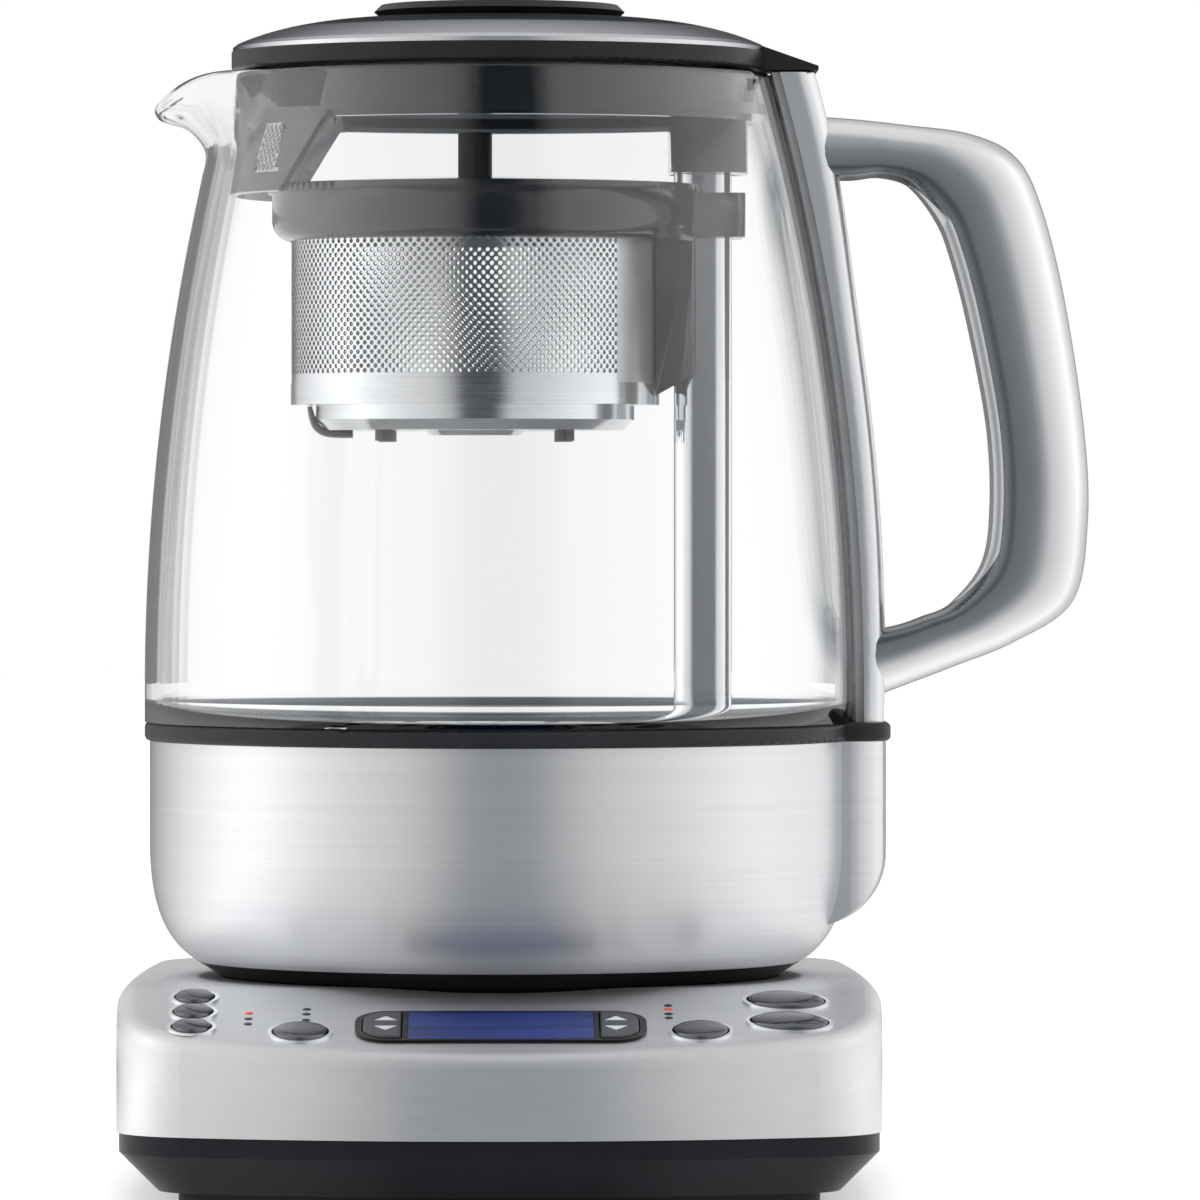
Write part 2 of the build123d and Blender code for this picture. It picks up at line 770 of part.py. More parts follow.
for name, places in {"tea_type_leds": tea_type_led_places, "strength_leds": strength_led_places}.items():
    with BuildPart() as leds:
        with BuildSketch(panel_plane.offset(run_gap)):
            with Locations(*places):
                Circle(led_radius)
        extrude(amount=-led_length)
    finish(leds, name)

with BuildPart() as control_board:
    with BuildSketch(panel_plane.offset(-board_depth)):
        add(profile(*board_outline))
    extrude(amount=-board_thickness)
finish(control_board, "control_board")

with BuildPart() as tact_switches:
    switch_places = [place for place, radius in round_sizes.values()]
    switch_places += [(x, y) for x, y, angle in oval_button_places.values()]
    switch_places += [
        (pill_center[0] + side * rocker_middle, pill_center[1] + end * rocker_peg_y)
        for side in (-1, 1) for end in (-1, 1)
    ]
    with BuildSketch(panel_plane.offset(-board_depth)):
        with Locations(*switch_places):
            Rectangle(switch_size, switch_size)
    extrude(amount=switch_height)
finish(tact_switches, "tact_switches")


# ================================================================ jug, lower part
def lobe_plan(radius, reach, half_width):
    """Round plan with the rounded lobe that carries the handle at +X."""
    with BuildSketch() as plan:
        Circle(radius)
        with Locations((reach / 2, 0)):
            RectangleRounded(reach, 2 * half_width, lobe_corner)
    return plan.sketch


def handle_lobe(inset):
    """Lobe on the shell, rounded in under its upright part; smaller all round by inset."""
    with BuildPart() as lobe:
        with BuildSketch(Plane.XY.offset(shell_z)):
            with Locations(((lobe_reach - inset) / 2, 0)):
                RectangleRounded(
                    lobe_reach - inset, 2 * (lobe_half_width - inset), lobe_corner - inset
                )
        extrude(amount=shell_height)
        turn_z = shell_top_z - lobe_straight
        turn_x = lobe_reach - lobe_bottom_round
        with BuildSketch(Plane.XZ):
            with BuildLine():
                Line((0, shell_top_z), (lobe_reach - inset, shell_top_z))
                Line((lobe_reach - inset, shell_top_z), (lobe_reach - inset, turn_z))
                CenterArc((turn_x, turn_z), lobe_bottom_round - inset, 0, -90)
                Line((turn_x, turn_z - lobe_bottom_round + inset), (0, turn_z - lobe_bottom_round + inset))
                Line((0, turn_z - lobe_bottom_round + inset), (0, shell_top_z))
            make_face()
        revolve(axis=Axis.Z, mode=Mode.INTERSECT)
    return lobe.part


def shell_profile(inset):
    """Half section of the round shell, tucked in at its foot; smaller by inset."""
    with BuildSketch() as section:
        with BuildLine():
            Polyline(
                (shell_foot_radius - inset, shell_z), (0, shell_z), (0, shell_top_z),
                (shell_radius - inset, shell_top_z), (shell_radius - inset, shell_z + shell_tuck_height),
            )
            Spline(
                (shell_radius - inset, shell_z + shell_tuck_height),
                *[(radius - inset, shell_z + height) for radius, height in shell_tuck],
                (shell_foot_radius - inset, shell_z),
            )
        make_face()
    return section.sketch


with BuildPart() as jug_shell:
    with BuildSketch(Plane.XZ):
        add(shell_profile(0))
    revolve(axis=Axis.Z)
    add(handle_lobe(0))
    with BuildSketch(Plane.XZ):
        add(shell_profile(shell_wall))
    revolve(axis=Axis.Z, mode=Mode.SUBTRACT)
    add(handle_lobe(shell_wall), mode=Mode.SUBTRACT)
finish(jug_shell, "jug_shell")

with BuildPart() as jug_bottom_cover:
    cover_inner_radius = jug_socket_radius + fit_gap
    spigot_radius = shell_foot_radius - shell_wall - fit_gap
    with BuildSketch(Plane.XZ):
        add(profile(
            (cover_inner_radius, jug_z), (bottom_cover_foot_radius, jug_z),
            (shell_foot_radius - fit_gap, shell_z - fit_gap), (spigot_radius, shell_z - fit_gap),
            (spigot_radius, shell_z + bottom_spigot),
            (spigot_radius - bottom_cover_wall, shell_z + bottom_spigot),
            (spigot_radius - bottom_cover_wall, shell_z - bottom_cover_wall / 2),
            (bottom_cover_foot_radius - bottom_cover_wall, jug_z + bottom_cover_wall),
            (cover_inner_radius, jug_z + bottom_cover_wall),
        ))
    revolve(axis=Axis.Z)
finish(jug_bottom_cover, "jug_bottom_cover")

with BuildPart() as jug_connector:
    socket_step_z = dish_z + boss_step + jug_socket_gap
    socket_top_z = dish_z + boss_height + jug_socket_gap
    with BuildSketch(Plane.XZ):
        add(profile(
            (boss_radius + jug_socket_gap, jug_z), (jug_socket_radius, jug_z),
            (jug_socket_radius, jug_z + jug_socket_height), (0, jug_z + jug_socket_height),
            (0, jug_z + jug_socket_gap), (jug_socket_pin_radius, jug_z + jug_socket_gap),
            (jug_socket_pin_radius, socket_top_z), (boss_step_radius + jug_socket_gap, socket_top_z),
            (boss_step_radius + jug_socket_gap, socket_step_z), (boss_radius + jug_socket_gap, socket_step_z),
        ))
    revolve(axis=Axis.Z)
finish(jug_connector, "jug_connector")

with BuildPart() as jug_seal_ring:
    with BuildSketch(Plane.XY.offset(shell_top_z)):
        add(lobe_plan(seal_radius, seal_reach, lobe_half_width + seal_reach - lobe_reach))
    extrude(amount=seal_height)
    fillet(jug_seal_ring.edges().group_by(Axis.Z)[0] + jug_seal_ring.edges().group_by(Axis.Z)[-1],
           seal_edge_round)
    with BuildSketch(Plane.XY.offset(shell_top_z)):
        Circle(seal_inner_radius)
        with Locations(*handle_screw_places):
            Circle(handle_screw_radius + fit_gap)
    extrude(amount=seal_height, mode=Mode.SUBTRACT)
finish(jug_seal_ring, "jug_seal_ring")


def post_plan(grow):
    """Rounded section of the lift post, grown by the given amount."""
    with Locations((post_x, 0)):
        RectangleRounded(post_length + 2 * grow, post_width + 2 * grow, post_corner + grow)


with BuildPart() as heater_plate:
    plate_radius = seal_inner_radius - fit_gap
    bead_top_z = floor_z + floor_bead_height
    with BuildSketch(Plane.XZ):
        add(profile(
            (0, floor_z - floor_thickness), (plate_radius - floor_thickness, floor_z - floor_thickness),
            (plate_radius - floor_thickness, shell_top_z), (plate_radius, shell_top_z),
            (plate_radius, floor_z), (floor_bead_radius + floor_bead_width, floor_z),
            (floor_bead_radius, bead_top_z), (floor_bead_radius - floor_bead_width, floor_z), (0, floor_z),
        ))
    revolve(axis=Axis.Z)
    fillet(heater_plate.edges().filter_by(GeomType.CIRCLE).filter_by(
        lambda e: abs(e.radius - plate_radius) < fit_gap and e.center().Z > seal_top_z), floor_thickness / 2)
    with BuildSketch(Plane.XY.offset(floor_z)):
        post_plan(fit_gap)
    extrude(amount=-2 * floor_thickness, mode=Mode.SUBTRACT)
finish(heater_plate, "heater_plate")

with BuildPart() as heating_element:
    element_z = floor_z - floor_thickness - element_tube_radius - fit_gap
    with BuildSketch(Plane.XZ):
        with Locations((element_ring_radius, element_z)):
            Circle(element_tube_radius)
    revolve(axis=Axis.Z, revolution_arc=element_sweep)
    for angle in (0, element_sweep):
        end = Vector(element_ring_radius, 0, element_z).rotate(Axis.Z, angle)
        with BuildSketch(Plane(end)):
            Circle(element_tube_radius / 2)
        extrude(amount=-element_terminal)
finish(heating_element, "heating_element")

with BuildPart() as temperature_sensor:
    with BuildSketch(Plane.XY.offset(floor_z - floor_thickness)):
        with Locations(sensor_place):
            Circle(sensor_radius)
    extrude(amount=-sensor_length)
finish(temperature_sensor, "temperature_sensor")


# ================================================================ jug, glass and spout
def glass_section(inset):
    """Half section of the glass body: an upright foot, then one long arc to the rim."""
    straight_z = glass_z + glass_straight
    with BuildSketch() as section:
        with BuildLine():
            Polyline((glass_radius - inset, straight_z), (glass_radius - inset, glass_z), (0, glass_z),
                     (0, rim_z), (rim_radius - inset, rim_z))
            TangentArc((glass_radius - inset, straight_z), (rim_radius - inset, rim_z), tangent=(0, 1))
        make_face()
    return section.sketch


def glass_radius_at(height):
    """Outer radius of the glass at a height above the glass's lower edge."""
    rise = glass_height - glass_straight
    taper = glass_radius - rim_radius
    arc_radius = (rise ** 2 + taper ** 2) / (2 * taper)
    along = max(0, height - glass_straight)
    return glass_radius - arc_radius + sqrt(arc_radius ** 2 - along ** 2)


def glass_body(inset):
    """Solid of the glass and its spout before the lip is cut; smaller all round by inset."""
    with BuildPart() as body:
        with BuildSketch(Plane.XZ):
            add(glass_section(inset))
        revolve(axis=Axis.Z)
        for distance, half_width, depth in spout_stations:
            with BuildSketch(Plane((-distance, 0, rim_z), x_dir=(0, 1, 0), z_dir=(-1, 0, 0))):
                Ellipse(half_width - inset, depth - inset)
        loft()
    return body.part


with BuildPart() as jug_glass:
    add(glass_body(0))
    add(glass_body(glass_wall), mode=Mode.SUBTRACT)
    # the lip dips from the rim to the tip
    with BuildSketch(Plane.XZ):
        with BuildLine():
            Polyline((-rim_radius, rim_z), (-rim_radius + glass_wall, rim_z),
                     (-rim_radius + glass_wall, rim_z + spout_reach),
                     (-spout_reach - glass_wall, rim_z + spout_reach),
                     (-spout_reach - glass_wall, rim_z - spout_drop), (-spout_reach, rim_z - spout_drop))
            ThreePointArc((-spout_reach, rim_z - spout_drop),
                          (-spout_lip_middle[0], rim_z - spout_lip_middle[1]),
                          (-rim_radius, rim_z))
        make_face()
    extrude(amount=rim_radius, both=True, mode=Mode.SUBTRACT)
    with BuildSketch(Plane.XY.offset(rim_z)):
        Circle(2 * rim_radius)
    extrude(amount=spout_reach, mode=Mode.SUBTRACT)
finish(jug_glass, "jug_glass")


# ================================================================ jug, spine and handle
def raised(points):
    """Points given above the seal ring, as (x, z) on the section plane."""
    return [(x, seal_top_z + height) for x, height in points]


def spine_section(gap):
    """Section of the spine: outer curve, and inner face that follows the glass at the given gap."""
    foot_x = glass_radius + gap
    with BuildSketch() as section:
        with BuildLine():
            outer = Spline(*raised(spine_points))
            Line(outer @ 1, (rim_radius + gap, (outer @ 1).Y))
            Line((foot_x, seal_top_z), outer @ 0)
            Line((foot_x, seal_top_z), (foot_x, glass_z + glass_straight))
            TangentArc((foot_x, glass_z + glass_straight), (rim_radius + gap, (outer @ 1).Y), tangent=(0, 1))
        make_face()
    return section.sketch


with BuildPart() as handle_spine:
    with BuildSketch(Plane.XZ):
        add(spine_section(spine_gasket))
    extrude(amount=spine_half_width, both=True)
    outer_edges = handle_spine.edges().filter_by(GeomType.BSPLINE)
    fillet(outer_edges, spine_edge_round)
    with BuildSketch(Plane.XY.offset(seal_top_z)):
        with Locations(*handle_screw_places):
            Circle(handle_screw_radius + fit_gap)
    extrude(amount=handle_screw_length, mode=Mode.SUBTRACT)
finish(handle_spine, "handle_spine")

with BuildPart() as spine_gasket_strip:
    with BuildSketch(Plane.XZ):
        add(spine_section(fit_gap))
        add(spine_section(spine_gasket), mode=Mode.SUBTRACT)
    extrude(amount=spine_gasket_half_width, both=True)
finish(spine_gasket_strip, "spine_gasket")


def grip_section():
    """Strip let into the inside of the grip, between two stations along the inner curve."""
    with BuildLine(mode=Mode.PRIVATE) as path:
        Spline(*raised(handle_inner))
    front_points, back_points = [], []
    for station in range(grip_stations + 1):
        along = grip_start + (grip_end - grip_start) * station / grip_stations
        point = path.line @ along
        heading = path.line % along
        outwards = Vector(-heading.Y, heading.X)
        front_points.append(point - outwards * grip_proud)
        back_points.append(point + outwards * (grip_thickness - grip_proud))
    with BuildSketch() as section:
        with BuildLine():
            front = Spline(*front_points)
            back = Spline(*back_points)
            Line(front @ 0, back @ 0)
            Line(front @ 1, back @ 1)
        make_face()
    return section.sketch


with BuildPart() as handle_shell:
    with BuildSketch(Plane.XZ):
        with BuildLine():
            outer = Spline(*raised(handle_outer))
            inner = Spline(*raised(handle_inner))
            Polyline(outer @ 1, *raised(handle_foot), inner @ 1)
            Polyline(inner @ 0, *raised(handle_root), outer @ 0)
        make_face()
    extrude(amount=handle_half_width, both=True)
    fillet(handle_shell.edges().filter_by(GeomType.BSPLINE), handle_edge_round)
    add(handle_spine.part, mode=Mode.SUBTRACT)
    with BuildSketch(Plane.XY.offset(seal_top_z)):
        with Locations(*handle_screw_places):
            Circle(handle_screw_radius + fit_gap)
    extrude(amount=handle_screw_length, mode=Mode.SUBTRACT)
    with BuildSketch(Plane.XZ):
        add(grip_section())
    extrude(amount=grip_half_width + fit_gap, both=True, mode=Mode.SUBTRACT)
finish(handle_shell, "handle_shell")

with BuildPart() as handle_grip:
    with BuildSketch(Plane.XZ):
        add(grip_section())
    extrude(amount=grip_half_width, both=True)
finish(handle_grip, "handle_grip")

with BuildPart() as handle_screws:
    with BuildSketch(Plane.XY.offset(shell_top_z)):
        with Locations(*handle_screw_places):
            Circle(handle_screw_head)
    extrude(amount=-screw_head_height)
    with BuildSketch(Plane.XY.offset(shell_top_z)):
        with Locations(*handle_screw_places):
            Circle(handle_screw_radius)
    extrude(amount=seal_height + handle_screw_length - fit_gap)
finish(handle_screws, "handle_screws")


# ================================================================ jug, collar, filter and post
def radial_plane(azimuth):
    """Plane through the Z axis at an azimuth in degrees: local x outwards, local y up."""
    turn = radians(azimuth)
    return Plane((0, 0, 0), x_dir=(cos(turn), sin(turn), 0), z_dir=(sin(turn), -cos(turn), 0))


collar_top_z = rim_z - collar_drop
collar_z = collar_top_z - collar_height
filter_z = collar_z - filter_height + filter_thickness


def filter_section(out, thickness):
    """Slanted section of the spout filter, from the collar down."""
    top_z = filter_z + filter_height
    return profile(
        (filter_top_radius - out, top_z), (filter_top_radius - out - thickness, top_z),
        (filter_bottom_radius - out - thickness, filter_z), (filter_bottom_radius - out, filter_z),
    )


def window_place(window):
    """Middle of a filter window: local x outwards, local z up along the window."""
    step = window - (filter_windows - 1) / 2
    middle_z = filter_z + filter_height / 2 - filter_thickness
    turn = Location((0, 0, middle_z), (0, 0, 180 + step * filter_window_pitch))
    return turn * Location((filter_bottom_radius, 0, 0), (step * filter_window_lean, 0, 0))


with BuildPart() as mouth_collar:
    with BuildSketch(Plane.XZ):
        with Locations(((collar_inner_radius + collar_outer_radius) / 2, (collar_z + collar_top_z) / 2)):
            Rectangle(collar_outer_radius - collar_inner_radius, collar_height)
    revolve(axis=Axis.Z)
    with BuildSketch(radial_plane(180 - filter_half_angle)):
        add(filter_section(0, filter_thickness))
    revolve(axis=Axis.Z, revolution_arc=2 * filter_half_angle)
    # bracket that holds the top of the post
    with BuildSketch(Plane.XY.offset(bracket_top_z - bracket_height)):
        with Locations((bracket_inner_x + collar_outer_radius / 2, 0)):
            Rectangle(collar_outer_radius, 2 * bracket_half_width)
        Circle((collar_inner_radius + collar_outer_radius) / 2, mode=Mode.INTERSECT)
    extrude(amount=bracket_height)
    with BuildSketch(Plane.XY.offset(bracket_top_z - bracket_height)):
        post_plan(fit_gap)
    extrude(amount=post_top_z + fit_gap - bracket_top_z + bracket_height, mode=Mode.SUBTRACT)
    # windows of the filter
    for window in range(filter_windows):
        with Locations(window_place(window)):
            Box(4 * filter_thickness, filter_window_width, filter_window_height, mode=Mode.SUBTRACT)
finish(mouth_collar, "mouth_collar")

with BuildPart() as spout_filter:
    with BuildSketch(radial_plane(180 - filter_half_angle)):
        add(filter_section(filter_thickness + fit_gap, mesh_thickness))
    revolve(axis=Axis.Z, revolution_arc=2 * filter_half_angle)
    with BuildSketch(Plane.XY.offset(collar_z - fit_gap)):
        Circle(2 * filter_bottom_radius)
    extrude(amount=filter_height, mode=Mode.SUBTRACT)
    for window in range(filter_windows):
        for column in range(mesh_columns):
            for row in range(mesh_rows):
                across = (column - (mesh_columns - 1) / 2) * filter_window_width / mesh_columns
                up = (row - (mesh_rows - 1) / 2) * filter_window_height / mesh_rows
                with Locations(window_place(window)):
                    with Locations(Location((0, across, up), (45, 0, 0))):
                        Box(6 * filter_thickness, mesh_hole, mesh_hole, mode=Mode.SUBTRACT)
finish(spout_filter, "spout_filter")

with BuildPart() as collar_gasket:
    gasket_z = collar_z + gasket_height / 2
    gasket_radius = glass_radius_at(gasket_z + gasket_height - glass_z) - glass_wall - fit_gap
    with BuildSketch(radial_plane(180 + filter_half_angle)):
        with Locations(((collar_outer_radius + gasket_radius) / 2, gasket_z + gasket_height / 2)):
            Rectangle(gasket_radius - collar_outer_radius, gasket_height)
    revolve(axis=Axis.Z, revolution_arc=360 - 2 * filter_half_angle)
finish(collar_gasket, "collar_gasket")

with BuildPart() as lift_post:
    with BuildSketch(Plane.XY.offset(floor_z - post_socket_depth)):
        post_plan(0)
        with Locations((post_x, 0)):
            RectangleRounded(post_length - 2 * post_wall, post_width - 2 * post_wall,
                             post_corner - post_wall, mode=Mode.SUBTRACT)
    extrude(amount=post_top_z - floor_z + post_socket_depth)
    with BuildSketch(Plane.XY.offset(post_top_z - post_wall)):
        post_plan(-post_wall / 2)
    extrude(amount=post_wall)
finish(lift_post, "lift_post")


# ================================================================ lift drive
def gear_outline(teeth, phase):
    """Gear with straight-flanked teeth; phase turns it by a share of one tooth."""
    pitch_radius = gear_module * teeth / 2
    tip_radius = pitch_radius + gear_module
    root_radius = pitch_radius - 1.25 * gear_module
    step = 2 * pi / teeth
    tip_half = step * tooth_fill / 4
    root_half = step * tooth_fill * 0.8
    points = []
    for tooth in range(teeth):
        middle = (tooth + phase) * step
        for radius, turn in ((root_radius, -root_half), (tip_radius, -tip_half),
                             (tip_radius, tip_half), (root_radius, root_half)):
            points.append((radius * cos(middle + turn), radius * sin(middle + turn)))
    return profile(*points)


center_distance = gear_module * (screw_teeth + pinion_teeth) / 2
motor_y = motor_side * center_distance
bracket_z = gear_z - gear_width / 2 - run_gap - bracket_plate

with BuildPart() as lead_screw:
    with BuildSketch(Plane.XY.offset(floor_z - screw_bottom_drop)):
        with Locations((post_x, 0)):
            Circle(screw_radius)
    extrude(amount=post_top_z - 2 * post_wall - floor_z + screw_bottom_drop)
    with BuildSketch(Plane.XY.offset(gear_z - gear_width / 2)):
        with Locations((post_x, 0)):
            add(gear_outline(screw_teeth, 0.25))
    extrude(amount=gear_width)
finish(lead_screw, "lead_screw")

with BuildPart() as motor_pinion:
    with BuildSketch(Plane.XY.offset(gear_z - gear_width / 2)):
        with Locations((post_x, motor_y)):
            add(gear_outline(pinion_teeth, 0.25))
            Circle(motor_shaft_radius + pivot_gap, mode=Mode.SUBTRACT)
    extrude(amount=gear_width)
finish(motor_pinion, "motor_pinion")

with BuildPart() as lift_motor:
    with BuildSketch(Plane.XY.offset(bracket_z)):
        with Locations((post_x, motor_y)):
            Circle(motor_radius)
    extrude(amount=-motor_length)
    with BuildSketch(Plane.XY.offset(bracket_z)):
        with Locations((post_x, motor_y)):
            Circle(motor_shaft_radius)
    extrude(amount=bracket_plate + run_gap + gear_width)
finish(lift_motor, "lift_motor")

with BuildPart() as drive_bracket:
    with BuildSketch(Plane.XY.offset(bracket_z)):
        with Locations((post_x, motor_y / 2)):
            RectangleRounded(*bracket_plate_size, 2 * bracket_pillar_radius)
        with Locations((post_x, 0)):
            Circle(screw_radius + pivot_gap, mode=Mode.SUBTRACT)
        with Locations((post_x, motor_y)):
            Circle(motor_shaft_radius + run_gap, mode=Mode.SUBTRACT)
    extrude(amount=bracket_plate)
    with BuildSketch(Plane.XY.offset(jug_z + bottom_cover_wall)):
        with Locations(*bracket_pillar_places):
            Circle(bracket_pillar_radius)
    extrude(amount=bracket_z - jug_z - bottom_cover_wall)
finish(drive_bracket, "drive_bracket")

with BuildPart() as drive_magnet:
    inside = post_wall + magnet_gap
    guide_z = carriage_z + guide_low
    with BuildSketch(Plane.XY.offset(guide_z + guide_height / 2 - magnet_height / 2)):
        with Locations((post_x, 0)):
            RectangleRounded(post_length - 2 * inside, post_width - 2 * inside, post_corner - inside)
            Circle(screw_radius + pivot_gap, mode=Mode.SUBTRACT)
    extrude(amount=magnet_height)
finish(drive_magnet, "drive_magnet")


# ================================================================ lid
tail_section = profile(
    (tail_start, lid_z), (tail_reach, lid_z), (tail_reach, lid_z + tail_tip),
    (tail_top_x, lid_z + tail_height), (tail_start, lid_z + tail_height),
)

with BuildPart() as lid_rim:
    with BuildSketch(Plane.XZ):
        add(profile(
            (lid_rim_inner_radius, lid_z), (lid_rim_radius, lid_z),
            (lid_rim_radius, lid_rim_top_z), (lid_rim_inner_radius, lid_rim_top_z),
        ))
    revolve(axis=Axis.Z)
    fillet(lid_rim.edges().group_by(Axis.Z)[0].sort_by(SortBy.RADIUS)[-1], dome_edge)
    with BuildSketch(Plane.XZ):
        add(tail_section)
    extrude(amount=tail_half_width, both=True)
finish(lid_rim, "lid_rim")


def dome_section(inset):
    """Half section of the domed lid, with its bright rounded edge."""
    edge_radius = lid_rim_radius - run_gap
    with BuildSketch() as section:
        with BuildLine():
            Polyline((edge_radius - inset, lid_rim_top_z + dome_edge), (edge_radius - inset, lid_rim_top_z),
                     (0, lid_rim_top_z), (0, dome_top_z - inset), (dome_flat_radius, dome_top_z - inset))
            top = Spline(
                (dome_flat_radius, dome_top_z - inset),
                (dome_middle[0], dome_top_z - dome_middle[1] - inset),
                (dome_shoulder[0] - inset, dome_top_z - dome_shoulder[1] - inset),
                tangents=((1, 0), (1, -dome_shoulder_slope)),
            )
            Line(top @ 1, (edge_radius - inset, lid_rim_top_z + dome_edge))
        make_face()
    return section.sketch


with BuildPart() as lid_dome:
    with BuildSketch(Plane.XZ):
        add(dome_section(0))
    revolve(axis=Axis.Z)
    with BuildSketch(Plane.XZ):
        add(dome_section(dome_wall))
    revolve(axis=Axis.Z, mode=Mode.SUBTRACT)
    with BuildSketch(Plane.XY.offset(dome_top_z)):
        Circle(knob_screw_radius + fit_gap)
    extrude(amount=-2 * dome_wall, mode=Mode.SUBTRACT)
    with BuildSketch(Plane.XZ):
        add(tail_section)
        offset(amount=fit_gap)
    extrude(amount=tail_half_width + fit_gap, both=True, mode=Mode.SUBTRACT)
finish(lid_dome, "lid_dome")

with BuildPart() as lid_skirt:
    with BuildSketch(Plane.XZ):
        add(profile(
            (skirt_radius - skirt_wall, lid_z), (skirt_radius, lid_z),
            (skirt_radius, lid_z - lid_seal_drop + lid_seal_height / 2),
            (skirt_radius - skirt_wall / 2, lid_z - lid_seal_drop + lid_seal_height / 2),
            (skirt_radius - skirt_wall / 2, lid_z - lid_seal_drop - lid_seal_height / 2),
            (skirt_radius, lid_z - lid_seal_drop - lid_seal_height / 2),
            (skirt_radius, lid_z - skirt_drop), (skirt_radius - skirt_wall, lid_z - skirt_drop),
        ))
    revolve(axis=Axis.Z)
finish(lid_skirt, "lid_skirt")

with BuildPart() as lid_seal:
    seal_out = collar_inner_radius - run_gap
    seal_in = skirt_radius - skirt_wall / 2
    with BuildSketch(Plane.XZ):
        with Locations(((seal_in + seal_out) / 2, lid_z - lid_seal_drop)):
            Rectangle(seal_out - seal_in, lid_seal_height)
    revolve(axis=Axis.Z)
finish(lid_seal, "lid_seal")

with BuildPart() as lid_knob:
    with BuildSketch(Plane.XZ):
        with BuildLine():
            Polyline((knob_radius, dome_top_z + knob_edge), (knob_radius - knob_edge, dome_top_z + fit_gap),
                     (knob_neck_radius, dome_top_z + fit_gap), (knob_neck_radius, dome_top_z),
                     (0, dome_top_z), (0, dome_top_z + knob_height))
            TangentArc((0, dome_top_z + knob_height),
                       (knob_radius - knob_edge, dome_top_z + knob_height - knob_edge / 2), tangent=(1, 0))
            Line((knob_radius - knob_edge, dome_top_z + knob_height - knob_edge / 2),
                 (knob_radius, dome_top_z + knob_edge))
        make_face()
    revolve(axis=Axis.Z)
    with BuildSketch(Plane.XY.offset(dome_top_z)):
        Circle(knob_screw_radius)
    extrude(amount=knob_height / 2, mode=Mode.SUBTRACT)
finish(lid_knob, "lid_knob")

with BuildPart() as knob_screw:
    with BuildSketch(Plane.XY.offset(dome_top_z - dome_wall)):
        Circle(knob_screw_head)
    extrude(amount=-screw_head_height)
    with BuildSketch(Plane.XY.offset(dome_top_z - dome_wall)):
        Circle(knob_screw_radius - fit_gap / 2)
    extrude(amount=dome_wall + knob_height / 2 - fit_gap)
finish(knob_screw, "knob_screw")


# ================================================================ carriage
bore_radius = basket_radius + run_gap + fit_gap
counterbore_radius = basket_radius + basket_flange + run_gap
seat_z = flange_z - basket_seat

with BuildPart() as basket_carrier:
    with BuildSketch(Plane.XY.offset(carriage_z)):
        with Locations((carriage_x, 0)):
            Circle(carriage_radius)
    extrude(amount=carriage_height)
    fillet(basket_carrier.edges().group_by(Axis.Z)[0], carriage_bottom_round)
    with BuildSketch(Plane.XY.offset(carriage_top_z - carriage_rim_height)):
        with Locations((carriage_x, 0)):
            Circle(carriage_radius + carriage_rim)
    extrude(amount=carriage_rim_height)
    # back plate below the ring, between the basket and the post
    with BuildSketch(Plane.XY.offset(carriage_z + carriage_bottom_round)):
        with Locations((carriage_x, 0)):
            Circle(carriage_radius - plate_step)
        with Locations((plate_x + carriage_radius, 0)):
            Rectangle(2 * carriage_radius, 2 * carriage_radius, mode=Mode.INTERSECT)
    extrude(amount=-plate_drop - carriage_bottom_round)
    # guide that rides on the post
    with BuildSketch(Plane.XY.offset(carriage_z + guide_low)):
        with Locations(((plate_x + guide_reach) / 2, 0)):
            RectangleRounded(guide_reach - plate_x, 2 * guide_half_width, carriage_rim_height)
    extrude(amount=guide_height)
    # bore and seat for the basket
    with BuildSketch(Plane.XY.offset(carriage_z - plate_drop)):
        with Locations((basket_x, 0)):
            Circle(bore_radius)
    extrude(amount=carriage_height + plate_drop, mode=Mode.SUBTRACT)
    with BuildSketch(Plane.XY.offset(seat_z)):
        with Locations((basket_x, 0)):
            Circle(counterbore_radius)
    extrude(amount=carriage_height, mode=Mode.SUBTRACT)
    # slanted lower edge of the plate
    with BuildSketch(Plane.XZ):
        add(profile(
            (plate_x - run_gap, carriage_z - plate_drop),
            (carriage_x + carriage_radius, carriage_z - plate_drop + plate_slant),
            (carriage_x + carriage_radius, carriage_z - 2 * plate_drop),
            (plate_x - run_gap, carriage_z - 2 * plate_drop),
        ))
    extrude(amount=carriage_radius, both=True, mode=Mode.SUBTRACT)
    # channel for the post, and pockets for the magnets
    with BuildSketch(Plane.XY.offset(carriage_z - plate_drop)):
        post_plan(run_gap)
    extrude(amount=2 * plate_drop, mode=Mode.SUBTRACT)
    with BuildSketch(Plane.XY.offset(guide_z + guide_height)):
        with Locations((post_x, -carrier_magnet_y), (post_x, carrier_magnet_y)):
            Rectangle(carrier_magnet_size[0] + 2 * fit_gap, carrier_magnet_size[1] + 2 * fit_gap)
    extrude(amount=-carrier_magnet_size[2], mode=Mode.SUBTRACT)
finish(basket_carrier, "basket_carrier")

with BuildPart() as carrier_magnets:
    with BuildSketch(Plane.XY.offset(guide_z + guide_height - carrier_magnet_size[2])):
        with Locations((post_x, -carrier_magnet_y), (post_x, carrier_magnet_y)):
            Rectangle(carrier_magnet_size[0], carrier_magnet_size[1])
    extrude(amount=carrier_magnet_size[2])
finish(carrier_magnets, "carrier_magnets")


# ================================================================ basket
basket_axis = Axis((basket_x, 0, 0), (0, 0, 1))
basket_plane = Plane((basket_x, 0, 0), x_dir=(1, 0, 0), z_dir=(0, -1, 0))
inner_radius = basket_radius - basket_wall_thickness
flange_top_z = flange_z + basket_flange_thickness

